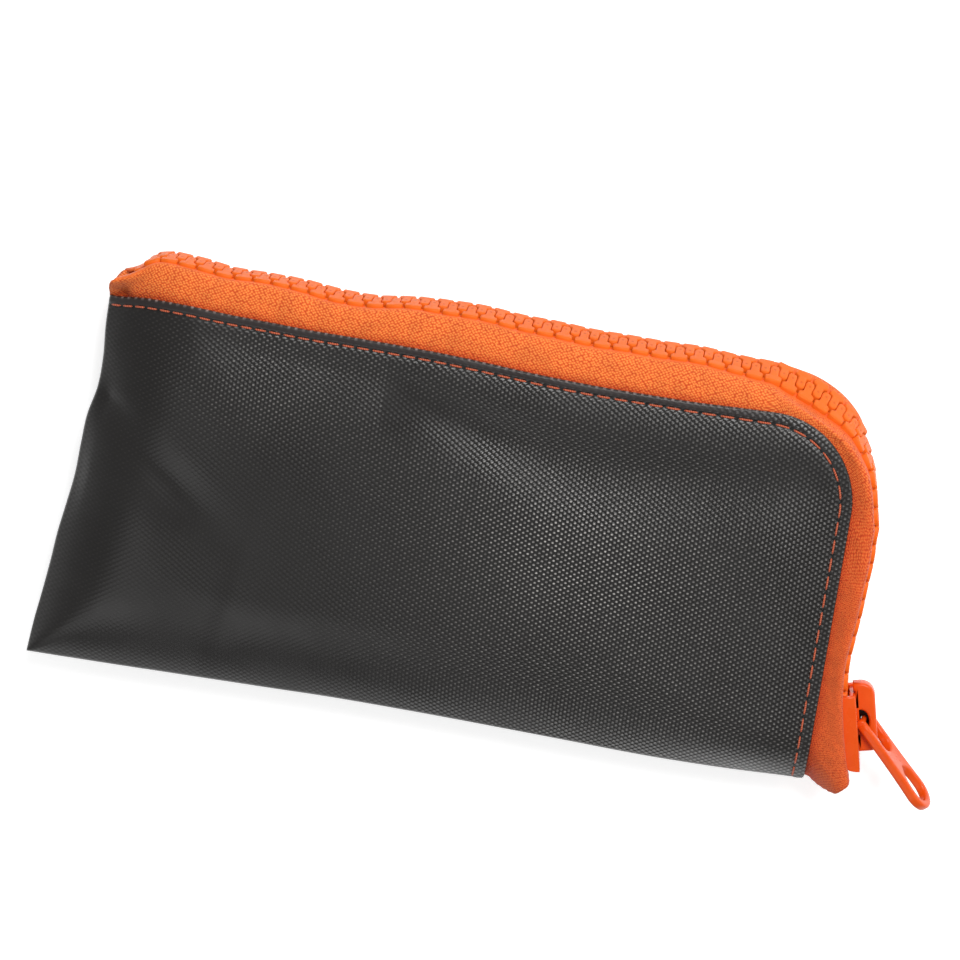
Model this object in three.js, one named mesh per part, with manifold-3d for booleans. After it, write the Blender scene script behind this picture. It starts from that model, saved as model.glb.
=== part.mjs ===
// A soft zip case for a blood glucose meter, lying on its back: X along its length, Y towards
// the long run of the zip, Z out of its front. All lengths are in millimetres.
import * as THREE from 'three';
import { mergeVertices } from 'three/addons/utils/BufferGeometryUtils.js';
import Module from 'manifold-3d';

const wasm = await Module();
wasm.setup();

// Driving sizes of the pouch
const midHeight = 12;
const panelTop = 37.2;
const panelRight = 83.8;
const panelBottom = -45.5;
const leftTopX = -84.3;
const leftBottomX = -92.6;
const panelCornerRadius = 19.8;
const panelCornerX = panelRight - panelCornerRadius;
const panelCornerY = panelTop - panelCornerRadius;
const fabricThickness = 0.9;
const liningThickness = 0.4;
const tapeThickness = 0.6;
const layerGap = 0.3;
const seamGap = 0.45;
const zipEdgeHeight = 8.4;
const foldWidth = 22;
const foldWidthAtZip = 12;
const foldNarrowX = 30;
const foldNarrowLength = 50;
const zipFallWidth = 18;
const crownHeight = 1.8;
const crowdingShare = 0.6;
const foldCornerPower = 4;

// The soft groove that runs under the long zip
const grooveDepth = 1.5;
const grooveX = 38;
const grooveY = 15.5;
const grooveBow = 5;
const grooveHalfSpan = 28;
const grooveWidth = 5.5;
const grooveReach = 42;

// Driving sizes of the zip
const toothPitch = 4.2;
const chainHalfWidth = 4.5;
const toothThickness = 3;
const padHalfLength = 1.66;
const padDepth = 2.6;
const neckHalfLength = 0.5;
const headHalfLength = 0.6;
const headReach = 1;
const headShoulder = 0.25;
const cordInset = 0.6;
const cordWidth = 1.5;
const cordThickness = 1.1;
const toothClearance = 0.3;
const chainRise = 8.3;
const chainTop = panelTop + chainRise;
const chainCornerRadius = 28;
const chainCornerInset = 21.5;
const chainCornerX = panelRight - chainCornerInset;
const trackStartInset = 2;
const trackStartX = leftTopX + trackStartInset;
const teethStart = 6;
const waveHeight = 2.5;
const topWaveShares = [
  0.2, 0.92, 0.72, 0.4, 0.44, 0.22, -0.04, -0.04, 0.34, 0.4,
  0.46, 0.3, 0.11, 0, -0.07, -0.11, -0.16, -0.31, -0.6,
];
const cornerWaveShares = [-0.6, -0.82, -0.86, -0.83, -0.76, -0.7, -0.68, -0.48, -0.24, -0.08, 0];
const chainRollDegrees = 27;
const topRollShares = [
  0.11, 0.11, 0.19, 0.15, 0.1, 0.19, 0.25, 0.2, 0.17, 0.32,
  0.33, 0.37, 0.42, 0.44, 0.42, 0.44, 0.45, 0.52, 0.67,
];
const cornerRollShares = [0.67, 0.87, 1, 0.96, 0.78, 0.55, 0.27, 0.08, 0, 0, 0];
const sideRunRadius = 120;
const sideLeanDegrees = 8.6;
const sideRunInset = 3.4;
const sideRunLength = panelCornerY - panelBottom - sideRunInset;
const tapeSeamWidth = 4;
const tapeStraight = 2.25;
const tapeStraightTop = 0.9;
const tapeBulge = 0.7;
const tapeStartGap = 0.3;
const tapeStep = 5.6;
const tapeEndInset = 5.5;
const liningInset = 2;
const liningGap = 0.65;

// The slider, measured from the middle of its length
const sliderLength = 17;
const sliderHalfWidth = 6.4;
const sliderInnerHalfWidth = 5.9;
const sliderPlate = 1.5;
const sliderClearance = 0.45;
const sliderFlangeReach = 1;
const sliderFlangeWidth = 1.45;
const sliderInnerFlangeWidth = 0.95;
const sliderCorner = 1.8;
const sliderToEnd = 14;
const postLength = 4.5;
const postHalfWidth = 1;
const postEndInset = 0.5;
const stopLength = 3.6;
const stopHalfGap = 1.5;
const startStopFront = 2;
const cutOverrun = 1;

// The crown over the slider, its spring and the pull
const crownHalfWidth = 2;
const crownHeightAbove = 4.2;
const crownHookLength = 2.1;
const crownFrontInset = 3.7;
const crownRound = 1.5;
const crownGap = 0.3;
const crownHookGap = 0.4;
const crownHookReach = 1.2;
const barHoleHalfLength = 1.9;
const barHoleHeight = 2.8;
const barPlace = -2.1;
const springSlotHalfWidth = 0.95;
const springHalfWidth = 0.65;
const springThickness = 0.4;
const springSlotRoof = 0.9;
const springLength = 8.5;
const barHeight = 1.45;
const pullLength = 26;
const pullHalfWidth = 4.9;
const pullThickness = 1.9;
const pullLegWidth = 1.8;
const pullRim = 2;
const pullWeb = 4.6;
const pullEyeShare = 0.495;
const pullBarRadius = 0.85;
const pullHoleHalfWidth = 2.7;
const pullWaist = 0.5;
const pullNubRadius = 0.55;
const pullRestDegrees = -43;
const pullTwistDegrees = 5;

// The line that the front flap opens about
const flapLeftX = -84.3;
const flapLeftY = 34;
const flapRightX = 91;
const flapRightY = -18;
const flapGap = 0.3;

// The fittings inside
const bindingWidth = 4;
const bindingThickness = 1.4;
const bindingInset = 5.2;
const loopBandWidth = 22;
const loopBandThickness = 0.9;
const loopLeftX = 12;
const loopFoot = 5;
const penLoopWidth = 14;
const penLoopHeight = 8;
const vialLoopWidth = 22;
const vialLoopHeight = 10;
const loopCentreY = -10;
const pocketLeftX = -58;
const pocketRightX = -1;
const pocketBottomY = -22;
const pocketTopY = 14;
const pocketThickness = 0.5;
const pocketRound = 4;
const pocketBindingWidth = 4;
const pocketBindingThickness = 1.3;

// Colours and finishes
const charcoal = new THREE.MeshStandardMaterial({ color: '#373534', roughness: 0.8 });
const liningGrey = new THREE.MeshStandardMaterial({ color: '#4b4a4a', roughness: 0.85 });
const tapeOrange = new THREE.MeshStandardMaterial({ color: '#f8682c', roughness: 0.85 });
const toothOrange = new THREE.MeshStandardMaterial({ color: '#ff7a45', roughness: 0.45 });
const enamelOrange = new THREE.MeshStandardMaterial({ color: '#e5521f', roughness: 0.25 });
const springSteel = new THREE.MeshStandardMaterial({ color: '#b9bcc0', roughness: 0.3, metalness: 1 });
const elasticBlack = new THREE.MeshStandardMaterial({ color: '#232323', roughness: 0.9 });
const meshGrey = new THREE.MeshStandardMaterial({ color: '#5c5b5b', roughness: 0.9 });

const group = new THREE.Group();

function addMesh(name, geometry, material) {
  geometry.computeVertexNormals();
  const mesh = new THREE.Mesh(geometry, material);
  mesh.name = name;
  group.add(mesh);
}

// Solids from grids of points
function signedVolume(points, triangles) {
  let sum = 0;
  for (let i = 0; i < triangles.length; i += 3) {
    const [a, b, c] = [0, 1, 2].map((k) => points[triangles[i + k]]);
    sum += a.dot(new THREE.Vector3().crossVectors(b, c));
  }
  return sum / 6;
}

function solidFrom(points, triangles) {
  const order = signedVolume(points, triangles) < 0 ? [0, 2, 1] : [0, 1, 2];
  const index = [];
  for (let i = 0; i < triangles.length; i += 3) order.forEach((k) => index.push(triangles[i + k]));
  const geometry = new THREE.BufferGeometry();
  geometry.setAttribute('position', new THREE.Float32BufferAttribute(points.flatMap((p) => p.toArray()), 3));
  geometry.setIndex(index);
  return geometry;
}

// A slab between an upper and a lower grid with the same numbers of rows and columns
function slab(upper, lower) {
  const rows = upper.length;
  const columns = upper[0].length;
  const points = [...upper.flat(), ...lower.flat()];
  const triangles = [];
  const at = (side, i, j) => side * rows * columns + i * columns + j;
  const quad = (a, b, c, d) => triangles.push(a, b, c, a, c, d);
  for (let i = 0; i + 1 < rows; i += 1) {
    for (let j = 0; j + 1 < columns; j += 1) {
      quad(at(0, i, j), at(0, i, j + 1), at(0, i + 1, j + 1), at(0, i + 1, j));
      quad(at(1, i, j), at(1, i + 1, j), at(1, i + 1, j + 1), at(1, i, j + 1));
    }
  }
  for (let j = 0; j + 1 < columns; j += 1) {
    quad(at(0, 0, j), at(1, 0, j), at(1, 0, j + 1), at(0, 0, j + 1));
    quad(at(0, rows - 1, j), at(0, rows - 1, j + 1), at(1, rows - 1, j + 1), at(1, rows - 1, j));
  }
  for (let i = 0; i + 1 < rows; i += 1) {
    quad(at(0, i, 0), at(0, i + 1, 0), at(1, i + 1, 0), at(1, i, 0));
    quad(at(0, i, columns - 1), at(1, i, columns - 1), at(1, i + 1, columns - 1), at(0, i + 1, columns - 1));
  }
  return solidFrom(points, triangles);
}

// A sheet of even thickness about a grid of middle points, offset along its own normals
function sheet(grid, thickness) {
  const rows = grid.length;
  const columns = grid[0].length;
  const normalAt = (i, j) => {
    const down = grid[Math.min(i + 1, rows - 1)][j].clone().sub(grid[Math.max(i - 1, 0)][j]);
    const across = grid[i][Math.min(j + 1, columns - 1)].clone().sub(grid[i][Math.max(j - 1, 0)]);
    return across.cross(down).normalize().multiplyScalar(thickness / 2);
  };
  const side = (sign) =>
    grid.map((row, i) => row.map((p, j) => p.clone().addScaledVector(normalAt(i, j), sign)));
  return slab(side(1), side(-1));
}

function toManifold(geometry) {
  const bare = geometry.clone();
  bare.deleteAttribute('normal');
  bare.deleteAttribute('uv');
  const merged = mergeVertices(bare);
  const vertProperties = new Float32Array(merged.attributes.position.array);
  const triVerts = new Uint32Array(merged.index.array);
  return new wasm.Manifold(new wasm.Mesh({ numProp: 3, vertProperties, triVerts }));
}

function fromManifold(solid) {
  const { vertProperties, triVerts, numProp } = solid.getMesh();
  const count = vertProperties.length / numProp;
  const positions = new Float32Array(count * 3);
  for (let i = 0; i < count; i += 1) {
    for (let k = 0; k < 3; k += 1) positions[i * 3 + k] = vertProperties[i * numProp + k];
  }
  const geometry = new THREE.BufferGeometry();
  geometry.setAttribute('position', new THREE.BufferAttribute(positions, 3));
  geometry.setIndex(new THREE.BufferAttribute(new Uint32Array(triVerts), 1));
  return geometry;
}

const join = (geometries) => fromManifold(geometries.map(toManifold).reduce((all, one) => all.add(one)));
const cut = (geometry, tool) => fromManifold(toManifold(geometry).subtract(toManifold(tool)));
const keep = (geometry, tool) => fromManifold(toManifold(geometry).intersect(toManifold(tool)));

// A box from its lowest to its highest corner
function block(low, high) {
  const size = high.map((h, k) => h - low[k]);
  const geometry = new THREE.BoxGeometry(...size);
  geometry.translate(...high.map((h, k) => (h + low[k]) / 2));
  return geometry;
}

// The pouch's shape: how far the fabric has risen from its folded edges
const steps = (count) => Array.from({ length: count + 1 }, (_, i) => i / count);
const mix = (a, b, share) => a + (b - a) * share;
const easeShare = (share) => {
  const t = Math.min(Math.max(share, 0), 1);
  return t * t * (3 - 2 * t);
};
const leftEdgeX = (y) => mix(leftBottomX, leftTopX, (y - panelBottom) / (panelTop - panelBottom));
const riseShare = (distance, width) => 1 - (1 - Math.min(Math.max(distance / width, 0), 1)) ** 2;

// The distance to the nearer of the two folds, rounded off where they meet. The bottom rises
// faster towards the slider, where the zip holds the two panels apart.
function foldDistance(x, y) {
  const narrowing = easeShare((x - foldNarrowX) / foldNarrowLength);
  const quicker = foldWidth / mix(foldWidth, foldWidthAtZip, narrowing);
  const [left, bottom] = [x - leftEdgeX(y), (y - panelBottom) * quicker];
  if (Math.min(left, bottom) <= 0) return 0;
  return (left ** -foldCornerPower + bottom ** -foldCornerPower) ** (-1 / foldCornerPower);
}
const foldShare = (x, y) => riseShare(foldDistance(x, y), foldWidth);

function zipEdgeDistance(x, y) {
  const inCorner = x > panelCornerX && y > panelCornerY;
  if (inCorner) return panelCornerRadius - Math.hypot(x - panelCornerX, y - panelCornerY);
  return Math.min(panelTop - y, panelRight - x);
}

function crownAt(x, y) {
  const inside = riseShare(zipEdgeDistance(x, y), zipFallWidth) * foldShare(x, y);
  const valleyY = grooveY + grooveBow * ((x - grooveX) / grooveHalfSpan) ** 2;
  const across = Math.exp(-(((y - valleyY) / grooveWidth) ** 2));
  const along = Math.exp(-(((x - grooveX) / grooveReach) ** 4));
  const edge = easeShare(zipEdgeDistance(x, y) / grooveWidth);
  return crownHeight * inside - grooveDepth * across * along * edge;
}

const edgeHalfGap = layerGap / 2;
const frontSkin = (x, y) => {
  const rise = zipEdgeHeight - fabricThickness - edgeHalfGap;
  return midHeight + edgeHalfGap + fabricThickness + rise * foldShare(x, y) + crownAt(x, y);
};
const backSkin = (x, y) => {
  const edge = edgeHalfGap + fabricThickness;
  const fall = (zipEdgeHeight - edge) * foldShare(x, y);
  const inside = foldShare(x, y) * riseShare(zipEdgeDistance(x, y), zipFallWidth);
  return midHeight - edge - fall - (midHeight - zipEdgeHeight) * inside;
};

// The panel's plan: rows from the bottom fold to the zip, each from the left fold to the zip edge,
// crowded towards all four edges
const crowdedSteps = (count) =>
  steps(count).map((v) => mix(v, (1 - Math.cos(v * Math.PI)) / 2, crowdingShare));
function panelPlan(rows, columns, inset, foldInset) {
  const radius = panelCornerRadius - inset;
  return crowdedSteps(rows).map((v) => {
    const top = panelTop - inset;
    const y = mix(panelBottom + foldInset, top, v);
    const up = Math.max(0, y - panelCornerY);
    const bow = Math.sqrt(Math.max(0, radius ** 2 - up ** 2));
    const right = y < panelCornerY ? panelRight - inset : panelCornerX + bow;
    return crowdedSteps(columns).map((u) => [mix(leftEdgeX(y) + foldInset, right, u), y]);
  });
}

// A layer of the pouch between two depths under its outer skin
function layer(skin, plan, from, to) {
  const grid = (depth) => plan.map((row) => row.map(([x, y]) => new THREE.Vector3(x, y, skin(x, y) + depth)));
  return slab(grid(from), grid(to));
}

// The half of space on each side of the line that the flap opens about
const flapStart = new THREE.Vector3(flapLeftX, flapLeftY, midHeight);
const flapEnd = new THREE.Vector3(flapRightX, flapRightY, midHeight);
const flapAngle = Math.atan2(flapRightY - flapLeftY, flapRightX - flapLeftX);
function flapSide(sign) {
  const span = flapStart.distanceTo(flapEnd) * 2;
  const box = new THREE.BoxGeometry(span, span, span);
  box.translate(0, sign * (span / 2 + flapGap / 2), 0);
  box.rotateZ(flapAngle);
  const middle = flapStart.clone().lerp(flapEnd, 0.5);
  box.translate(middle.x, middle.y, middle.z);
  return box;
}
const flapHalf = flapSide(1);
const caseHalf = flapSide(-1);

// The outer fabric and the lining
const panelRows = 15;
const panelColumns = 19;
const liningRows = 10;
const liningColumns = 14;
const outerPlan = panelPlan(panelRows, panelColumns, 0, 0);
const liningPlan = panelPlan(liningRows, liningColumns, liningInset, bindingInset);
const liningDepth = fabricThickness + tapeThickness + seamGap + liningGap;
const frontPanel = layer(frontSkin, outerPlan, 0, -fabricThickness);
const frontLining = layer(frontSkin, liningPlan, -liningDepth, -liningDepth - liningThickness);
addMesh('front_panel_flap', keep(frontPanel, flapHalf), charcoal);
addMesh('front_panel_lower', keep(frontPanel, caseHalf), charcoal);
addMesh('back_panel', layer(backSkin, outerPlan, fabricThickness, 0), charcoal);

const backLining = layer(backSkin, liningPlan, liningDepth + liningThickness, liningDepth);
addMesh('front_lining_flap', keep(frontLining, flapHalf), liningGrey);
addMesh('front_lining_lower', keep(frontLining, caseHalf), liningGrey);
addMesh('back_lining', backLining, liningGrey);

// The track that the zip follows, as points along the outer face of its teeth, each with the
// panel edge that its tape is sewn to and the roll of the chain towards the front
const sideLean = THREE.MathUtils.degToRad(sideLeanDegrees);
const chainRoll = THREE.MathUtils.degToRad(chainRollDegrees);
const chainCornerY = chainTop - chainCornerRadius;
const sideStart = new THREE.Vector2(
  chainCornerX + chainCornerRadius * Math.cos(sideLean),
  chainCornerY - chainCornerRadius * Math.sin(sideLean),
);
const sideCentre = new THREE.Vector2(
  sideStart.x + sideRunRadius * Math.cos(sideLean),
  sideStart.y - sideRunRadius * Math.sin(sideLean),
);
const trackDetail = 120;

// A smooth line through evenly spaced knots, with slopes from the knots on both sides
function smoothShare(shares, place) {
  const knots = shares.length - 1;
  const i = Math.min(Math.floor(place * knots), knots - 1);
  const t = place * knots - i;
  const [before, low, high, after] = [i - 1, i, i + 1, i + 2].map(
    (k) => shares[Math.min(Math.max(k, 0), knots)],
  );
  const rise = ((high - before) / 2) * t * (1 - t) ** 2;
  const fall = ((after - low) / 2) * t ** 2 * (1 - t);
  return mix(low, high, easeShare(t)) + rise - fall;
}

function trackPoints() {
  const points = [];
  steps(trackDetail).forEach((u) => {
    const x = mix(trackStartX, chainCornerX, u);
    const y = chainTop + waveHeight * smoothShare(topWaveShares, u);
    const roll = chainRoll * smoothShare(topRollShares, u);
    points.push({ x, y, edgeX: x, edgeY: panelTop, turn: 0, roll });
  });
  steps(trackDetail).slice(1).forEach((u) => {
    const angle = mix(Math.PI / 2, -sideLean, u);
    const edgeAngle = mix(Math.PI / 2, 0, u);
    const radius = chainCornerRadius + waveHeight * smoothShare(cornerWaveShares, u);
    points.push({
      x: chainCornerX + radius * Math.cos(angle),
      y: chainCornerY + radius * Math.sin(angle),
      edgeX: panelCornerX + panelCornerRadius * Math.cos(edgeAngle),
      edgeY: panelCornerY + panelCornerRadius * Math.sin(edgeAngle),
      turn: u,
      roll: chainRoll * smoothShare(cornerRollShares, u),
    });
  });
  steps(trackDetail).slice(1).forEach((u) => {
    const angle = Math.PI - sideLean + (u * sideRunLength) / sideRunRadius;
    points.push({
      x: sideCentre.x + sideRunRadius * Math.cos(angle),
      y: sideCentre.y + sideRunRadius * Math.sin(angle),
      edgeX: panelRight,
      edgeY: mix(panelCornerY, panelBottom + tapeEndInset, u),
      turn: 1,
      roll: 0,
    });
  });
  points[0].s = 0;
  for (let i = 1; i < points.length; i += 1) {
    const back = points[i - 1];
    points[i].s = back.s + Math.hypot(points[i].x - back.x, points[i].y - back.y);
  }
  return points;
}
const track = trackPoints();
const trackLength = track[track.length - 1].s;
const sideRunStart = trackLength - sideRunLength;

// The track's frame at a distance along it: t onwards, n outwards and b towards the front
function trackAt(s) {
  const found = track.findIndex((p) => p.s >= s);
  const i = Math.max(1, found < 0 ? track.length - 1 : found);
  const [a, c] = [track[i - 1], track[i]];
  const share = (s - a.s) / (c.s - a.s);
  const before = track[Math.max(i - 2, 0)];
  const after = track[Math.min(i + 1, track.length - 1)];
  const t = new THREE.Vector3(after.x - before.x, after.y - before.y, 0).normalize();
  const flat = new THREE.Vector3(-t.y, t.x, 0);
  const roll = mix(a.roll, c.roll, share);
  const up = new THREE.Vector3(0, 0, 1);
  const n = flat.clone().multiplyScalar(Math.cos(roll)).addScaledVector(up, Math.sin(roll));
  const b = up.clone().multiplyScalar(Math.cos(roll)).addScaledVector(flat, -Math.sin(roll));
  const at = new THREE.Vector3(mix(a.x, c.x, share), mix(a.y, c.y, share), midHeight);
  const edge = new THREE.Vector2(mix(a.edgeX, c.edgeX, share), mix(a.edgeY, c.edgeY, share));
  return { at, t, n, b, flat, edge, turn: mix(a.turn, c.turn, share) };
}

function onTrack(frame, outward, across) {
  return frame.at.clone().addScaledVector(frame.n, outward).addScaledVector(frame.b, across);
}

// Where the flap's line crosses the track, between two teeth
const toothStart = teethStart + padHalfLength;
const gapShare = 0.5;
function gapNear(place) {
  return toothStart + (Math.floor((place - toothStart) / toothPitch) + gapShare) * toothPitch;
}
function flapCrossing() {
  const side = track.filter((p) => p.s > sideRunStart);
  const height = (p) => p.y - (flapLeftY + Math.tan(flapAngle) * (p.x - flapLeftX));
  const crossing = side.find((p) => height(p) < 0).s;
  return gapNear(crossing);
}
const flapCut = flapCrossing();
const sideCut = gapNear(sideRunStart);
const sliderPlace = trackLength - sliderToEnd;
const postPlace = sliderPlace + sliderLength / 2 - postEndInset - postLength;
const teethEnd = postPlace - toothClearance;

// One tooth: a pad moulded over the tape's cord, a neck and a rounded head
function toothShape(side) {
  const top = chainHalfWidth;
  const shoulder = chainHalfWidth - padDepth;
  const outline = [
    [-padHalfLength, top],
    [-padHalfLength, shoulder],
    [-neckHalfLength, shoulder - headShoulder],
    [-headHalfLength, -headReach],
    [headHalfLength, -headReach],
    [neckHalfLength, shoulder - headShoulder],
    [padHalfLength, shoulder],
    [padHalfLength, top],
  ];
  return new THREE.Shape(outline.map(([along, across]) => new THREE.Vector2(along, across * side)));
}

function placedTooth(side, s) {
  const options = { depth: toothThickness, bevelEnabled: false };
  const geometry = new THREE.ExtrudeGeometry(toothShape(side), options);
  const frame = trackAt(s);
  const place = new THREE.Matrix4().makeBasis(frame.t, frame.b, frame.n.clone().negate());
  place.setPosition(frame.at);
  geometry.applyMatrix4(place);
  return geometry;
}

// The corded edge of the tape that carries a row of teeth
function cord(side, from, to) {
  const count = Math.max(2, Math.ceil((to - from) / toothPitch));
  const outer = -(toothThickness - cordThickness) / 2;
  const inner = outer - cordThickness;
  const edge = chainHalfWidth - cordInset;
  const grid = (outward) =>
    steps(count).map((u) => {
      const frame = trackAt(mix(from, to, u));
      return [edge - cordWidth, edge].map((across) => onTrack(frame, outward, across * side));
    });
  return slab(grid(outer), grid(inner));
}

// A row of teeth between two places on the track, the back row half a pitch behind the front
function teethRow(side, from, to) {
  const pieces = [cord(side, from, to)];
  const shift = side > 0 ? 0 : toothPitch / 2;
  for (let s = toothStart + shift; s + padHalfLength <= trackLength; s += toothPitch) {
    if (s - padHalfLength >= from && s + padHalfLength <= to) pieces.push(placedTooth(side, s));
  }
  return join(pieces);
}
const half = toothPitch / 2;
const rowGap = toothClearance / 2;
addMesh('front_teeth', teethRow(1, teethStart, sideCut - rowGap), toothOrange);
addMesh('front_teeth_side', teethRow(1, sideCut + rowGap, flapCut - rowGap), toothOrange);
addMesh('front_teeth_lower', teethRow(1, flapCut + rowGap, teethEnd), toothOrange);
addMesh('back_teeth', teethRow(-1, teethStart + half, sideCut + half - rowGap), toothOrange);
addMesh('back_teeth_side', teethRow(-1, sideCut + half + rowGap, teethEnd), toothOrange);

// The zip tape: from beside the teeth, over the edge of the pouch and under the panel's hem
function tapeSection(frame, side, skin, reach) {
  const outward = -toothThickness / 2;
  const start = chainHalfWidth + tapeStartGap;
  const straight = mix(tapeStraightTop, tapeStraight, easeShare(frame.turn * 2));
  const beside = onTrack(frame, outward, start * side);
  const bend = onTrack(frame, outward, (start + straight) * side);
  const inward = new THREE.Vector2(frame.flat.x, frame.flat.y).negate();
  const under = (distance) => {
    const at = frame.edge.clone().addScaledVector(inward, distance);
    const depth = fabricThickness + seamGap + tapeThickness / 2;
    return new THREE.Vector3(at.x, at.y, skin(at.x, at.y) - depth * side);
  };
  const edge = under(0);
  const bulge = new THREE.Vector3(frame.flat.x, frame.flat.y, side).normalize();
  const middle = bend.clone().lerp(edge, 0.5).addScaledVector(bulge, tapeBulge);
  return [beside, bend, middle, edge, under(reach)];
}

function tape(side, skin, from, to) {
  const count = Math.max(2, Math.ceil((to - from) / tapeStep));
  const grid = steps(count).map((u) => tapeSection(trackAt(mix(from, to, u)), side, skin, tapeSeamWidth));
  return sheet(grid, tapeThickness);
}
const tapeOverrun = padHalfLength;
addMesh('front_zip_tape', tape(1, frontSkin, 0, flapCut - rowGap), tapeOrange);
const lowerTape = keep(tape(1, frontSkin, flapCut + rowGap, trackLength), caseHalf);
addMesh('front_zip_tape_lower', lowerTape, tapeOrange);
addMesh('back_zip_tape', tape(-1, backSkin, 0, trackLength), tapeOrange);

// Pieces placed in the frame of the track: X onwards, Y outwards and Z towards the front
function placedOnTrack(geometry, s) {
  const frame = trackAt(s);
  const place = new THREE.Matrix4().makeBasis(frame.t, frame.n, frame.b);
  place.setPosition(frame.at);
  geometry.applyMatrix4(place);
  return geometry;
}

// The stops: a moulded bar across both rows at the zip's start, and one on each tape past the teeth
const barLow = [-tapeOverrun - stopLength / 2, -toothThickness, -chainHalfWidth + cordInset];
const barHigh = [-tapeOverrun, 0, startStopFront];
addMesh('start_stop', placedOnTrack(block(barLow, barHigh), teethStart), toothOrange);
['front', 'back'].forEach((name, i) => {
  const low = i === 0 ? stopHalfGap : -chainHalfWidth;
  const high = i === 0 ? chainHalfWidth : -stopHalfGap;
  const stop = block([toothClearance, -toothThickness, low], [stopLength, 0, high]);
  addMesh(`${name}_end_stop`, placedOnTrack(stop, teethEnd), toothOrange);
});

// The slider's body: two plates, their side flanges and the wedge post between them
function roundedRectangle(halfLength, halfWidth, radius) {
  const shape = new THREE.Shape();
  shape.moveTo(-halfLength + radius, -halfWidth);
  shape.lineTo(halfLength - radius, -halfWidth);
  shape.absarc(halfLength - radius, -halfWidth + radius, radius, -Math.PI / 2, 0);
  shape.absarc(halfLength - radius, halfWidth - radius, radius, 0, Math.PI / 2);
  shape.absarc(-halfLength + radius, halfWidth - radius, radius, Math.PI / 2, Math.PI);
  shape.absarc(-halfLength + radius, -halfWidth + radius, radius, Math.PI, Math.PI * 1.5);
  return shape;
}

function plate(halfWidth, low, high) {
  const shape = roundedRectangle(sliderLength / 2, halfWidth, sliderCorner);
  const options = { depth: high - low, bevelEnabled: false, curveSegments: 4 };
  const geometry = new THREE.ExtrudeGeometry(shape, options);
  geometry.rotateX(-Math.PI / 2);
  geometry.translate(0, low, 0);
  return geometry;
}
const plateLow = sliderClearance;
const plateHigh = sliderClearance + sliderPlate;
const innerHigh = -toothThickness - sliderClearance;
const innerLow = innerHigh - sliderPlate;
const flangeHalf = sliderLength / 2 - sliderCorner;
const sinkIn = sliderPlate / 5;

function sliderBody() {
  const pieces = [
    plate(sliderHalfWidth, plateLow, plateHigh),
    plate(sliderInnerHalfWidth, innerLow, innerHigh),
    block([postPlace - sliderPlace, innerHigh - sinkIn, -postHalfWidth],
      [postPlace - sliderPlace + postLength, plateLow + sinkIn, postHalfWidth]),
  ];
  [-1, 1].forEach((side) => {
    const across = (from, to) => (side > 0 ? [from, to] : [-to, -from]);
    const [a, b] = across(sliderHalfWidth - sliderFlangeWidth, sliderHalfWidth);
    pieces.push(block([-flangeHalf, plateLow - sliderFlangeReach, a], [flangeHalf, plateLow + sinkIn, b]));
    const [c, d] = across(sliderInnerHalfWidth - sliderInnerFlangeWidth, sliderInnerHalfWidth);
    pieces.push(block([-flangeHalf, innerHigh - sinkIn, c], [flangeHalf, innerHigh + sliderFlangeReach, d]));
  });
  return join(pieces);
}
addMesh('slider_body', placedOnTrack(sliderBody(), sliderPlace), enamelOrange);

// The crown: a moulded bridge hooked over the rear of the plate, with a hole for the pull's bar
const crownRear = -sliderLength / 2 - crownHookGap - crownHookLength;
const crownFront = sliderLength / 2 - crownFrontInset;
const crownFoot = plateHigh + crownGap;
const crownRoof = plateHigh + crownHeightAbove;
function crownShape() {
  const shape = new THREE.Shape();
  shape.moveTo(crownRear, plateHigh - crownHookReach);
  shape.lineTo(crownRear + crownHookLength, plateHigh - crownHookReach);
  shape.lineTo(crownRear + crownHookLength, crownFoot);
  shape.lineTo(barPlace - barHoleHalfLength, crownFoot);
  shape.lineTo(barPlace - barHoleHalfLength, plateHigh + barHoleHeight - barHoleHalfLength);
  shape.absarc(barPlace, plateHigh + barHoleHeight - barHoleHalfLength, barHoleHalfLength, Math.PI, 0, true);
  shape.lineTo(barPlace + barHoleHalfLength, crownFoot);
  shape.lineTo(crownFront, crownFoot);
  shape.lineTo(crownFront, crownRoof - crownRound);
  shape.absarc(crownFront - crownRound, crownRoof - crownRound, crownRound, 0, Math.PI / 2);
  shape.absarc(crownRear + crownRound * 2, crownRoof - crownRound * 2, crownRound * 2, Math.PI / 2, Math.PI);
  return shape;
}

function crown() {
  const options = { depth: 2 * crownHalfWidth, bevelEnabled: false, curveSegments: 6 };
  const body = new THREE.ExtrudeGeometry(crownShape(), options);
  body.translate(0, 0, -crownHalfWidth);
  const slotEnd = crownFront - crownRound;
  const slot = block([barPlace - springLength / 2 - crownGap, crownFoot - cutOverrun, -springSlotHalfWidth],
    [slotEnd, crownRoof - springSlotRoof, springSlotHalfWidth]);
  return cut(body, slot);
}
addMesh('slider_crown', placedOnTrack(crown(), sliderPlace), enamelOrange);

// The locking spring: a bent steel strip under the crown's roof
function lockSpring() {
  const top = crownRoof - springSlotRoof - crownGap;
  const rear = barPlace - springLength / 2;
  const front = rear + springLength;
  const shape = new THREE.Shape();
  shape.moveTo(rear, crownFoot);
  shape.lineTo(rear + springThickness, crownFoot);
  shape.lineTo(rear + springThickness, top - springThickness);
  shape.lineTo(front - springThickness, top - springThickness);
  shape.lineTo(front - springThickness, crownFoot);
  shape.lineTo(front, crownFoot);
  shape.lineTo(front, top);
  shape.lineTo(rear, top);
  const geometry = new THREE.ExtrudeGeometry(shape, { depth: 2 * springHalfWidth, bevelEnabled: false });
  geometry.translate(0, 0, -springHalfWidth);
  return geometry;
}
addMesh('lock_spring', placedOnTrack(lockSpring(), sliderPlace), springSteel);

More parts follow.
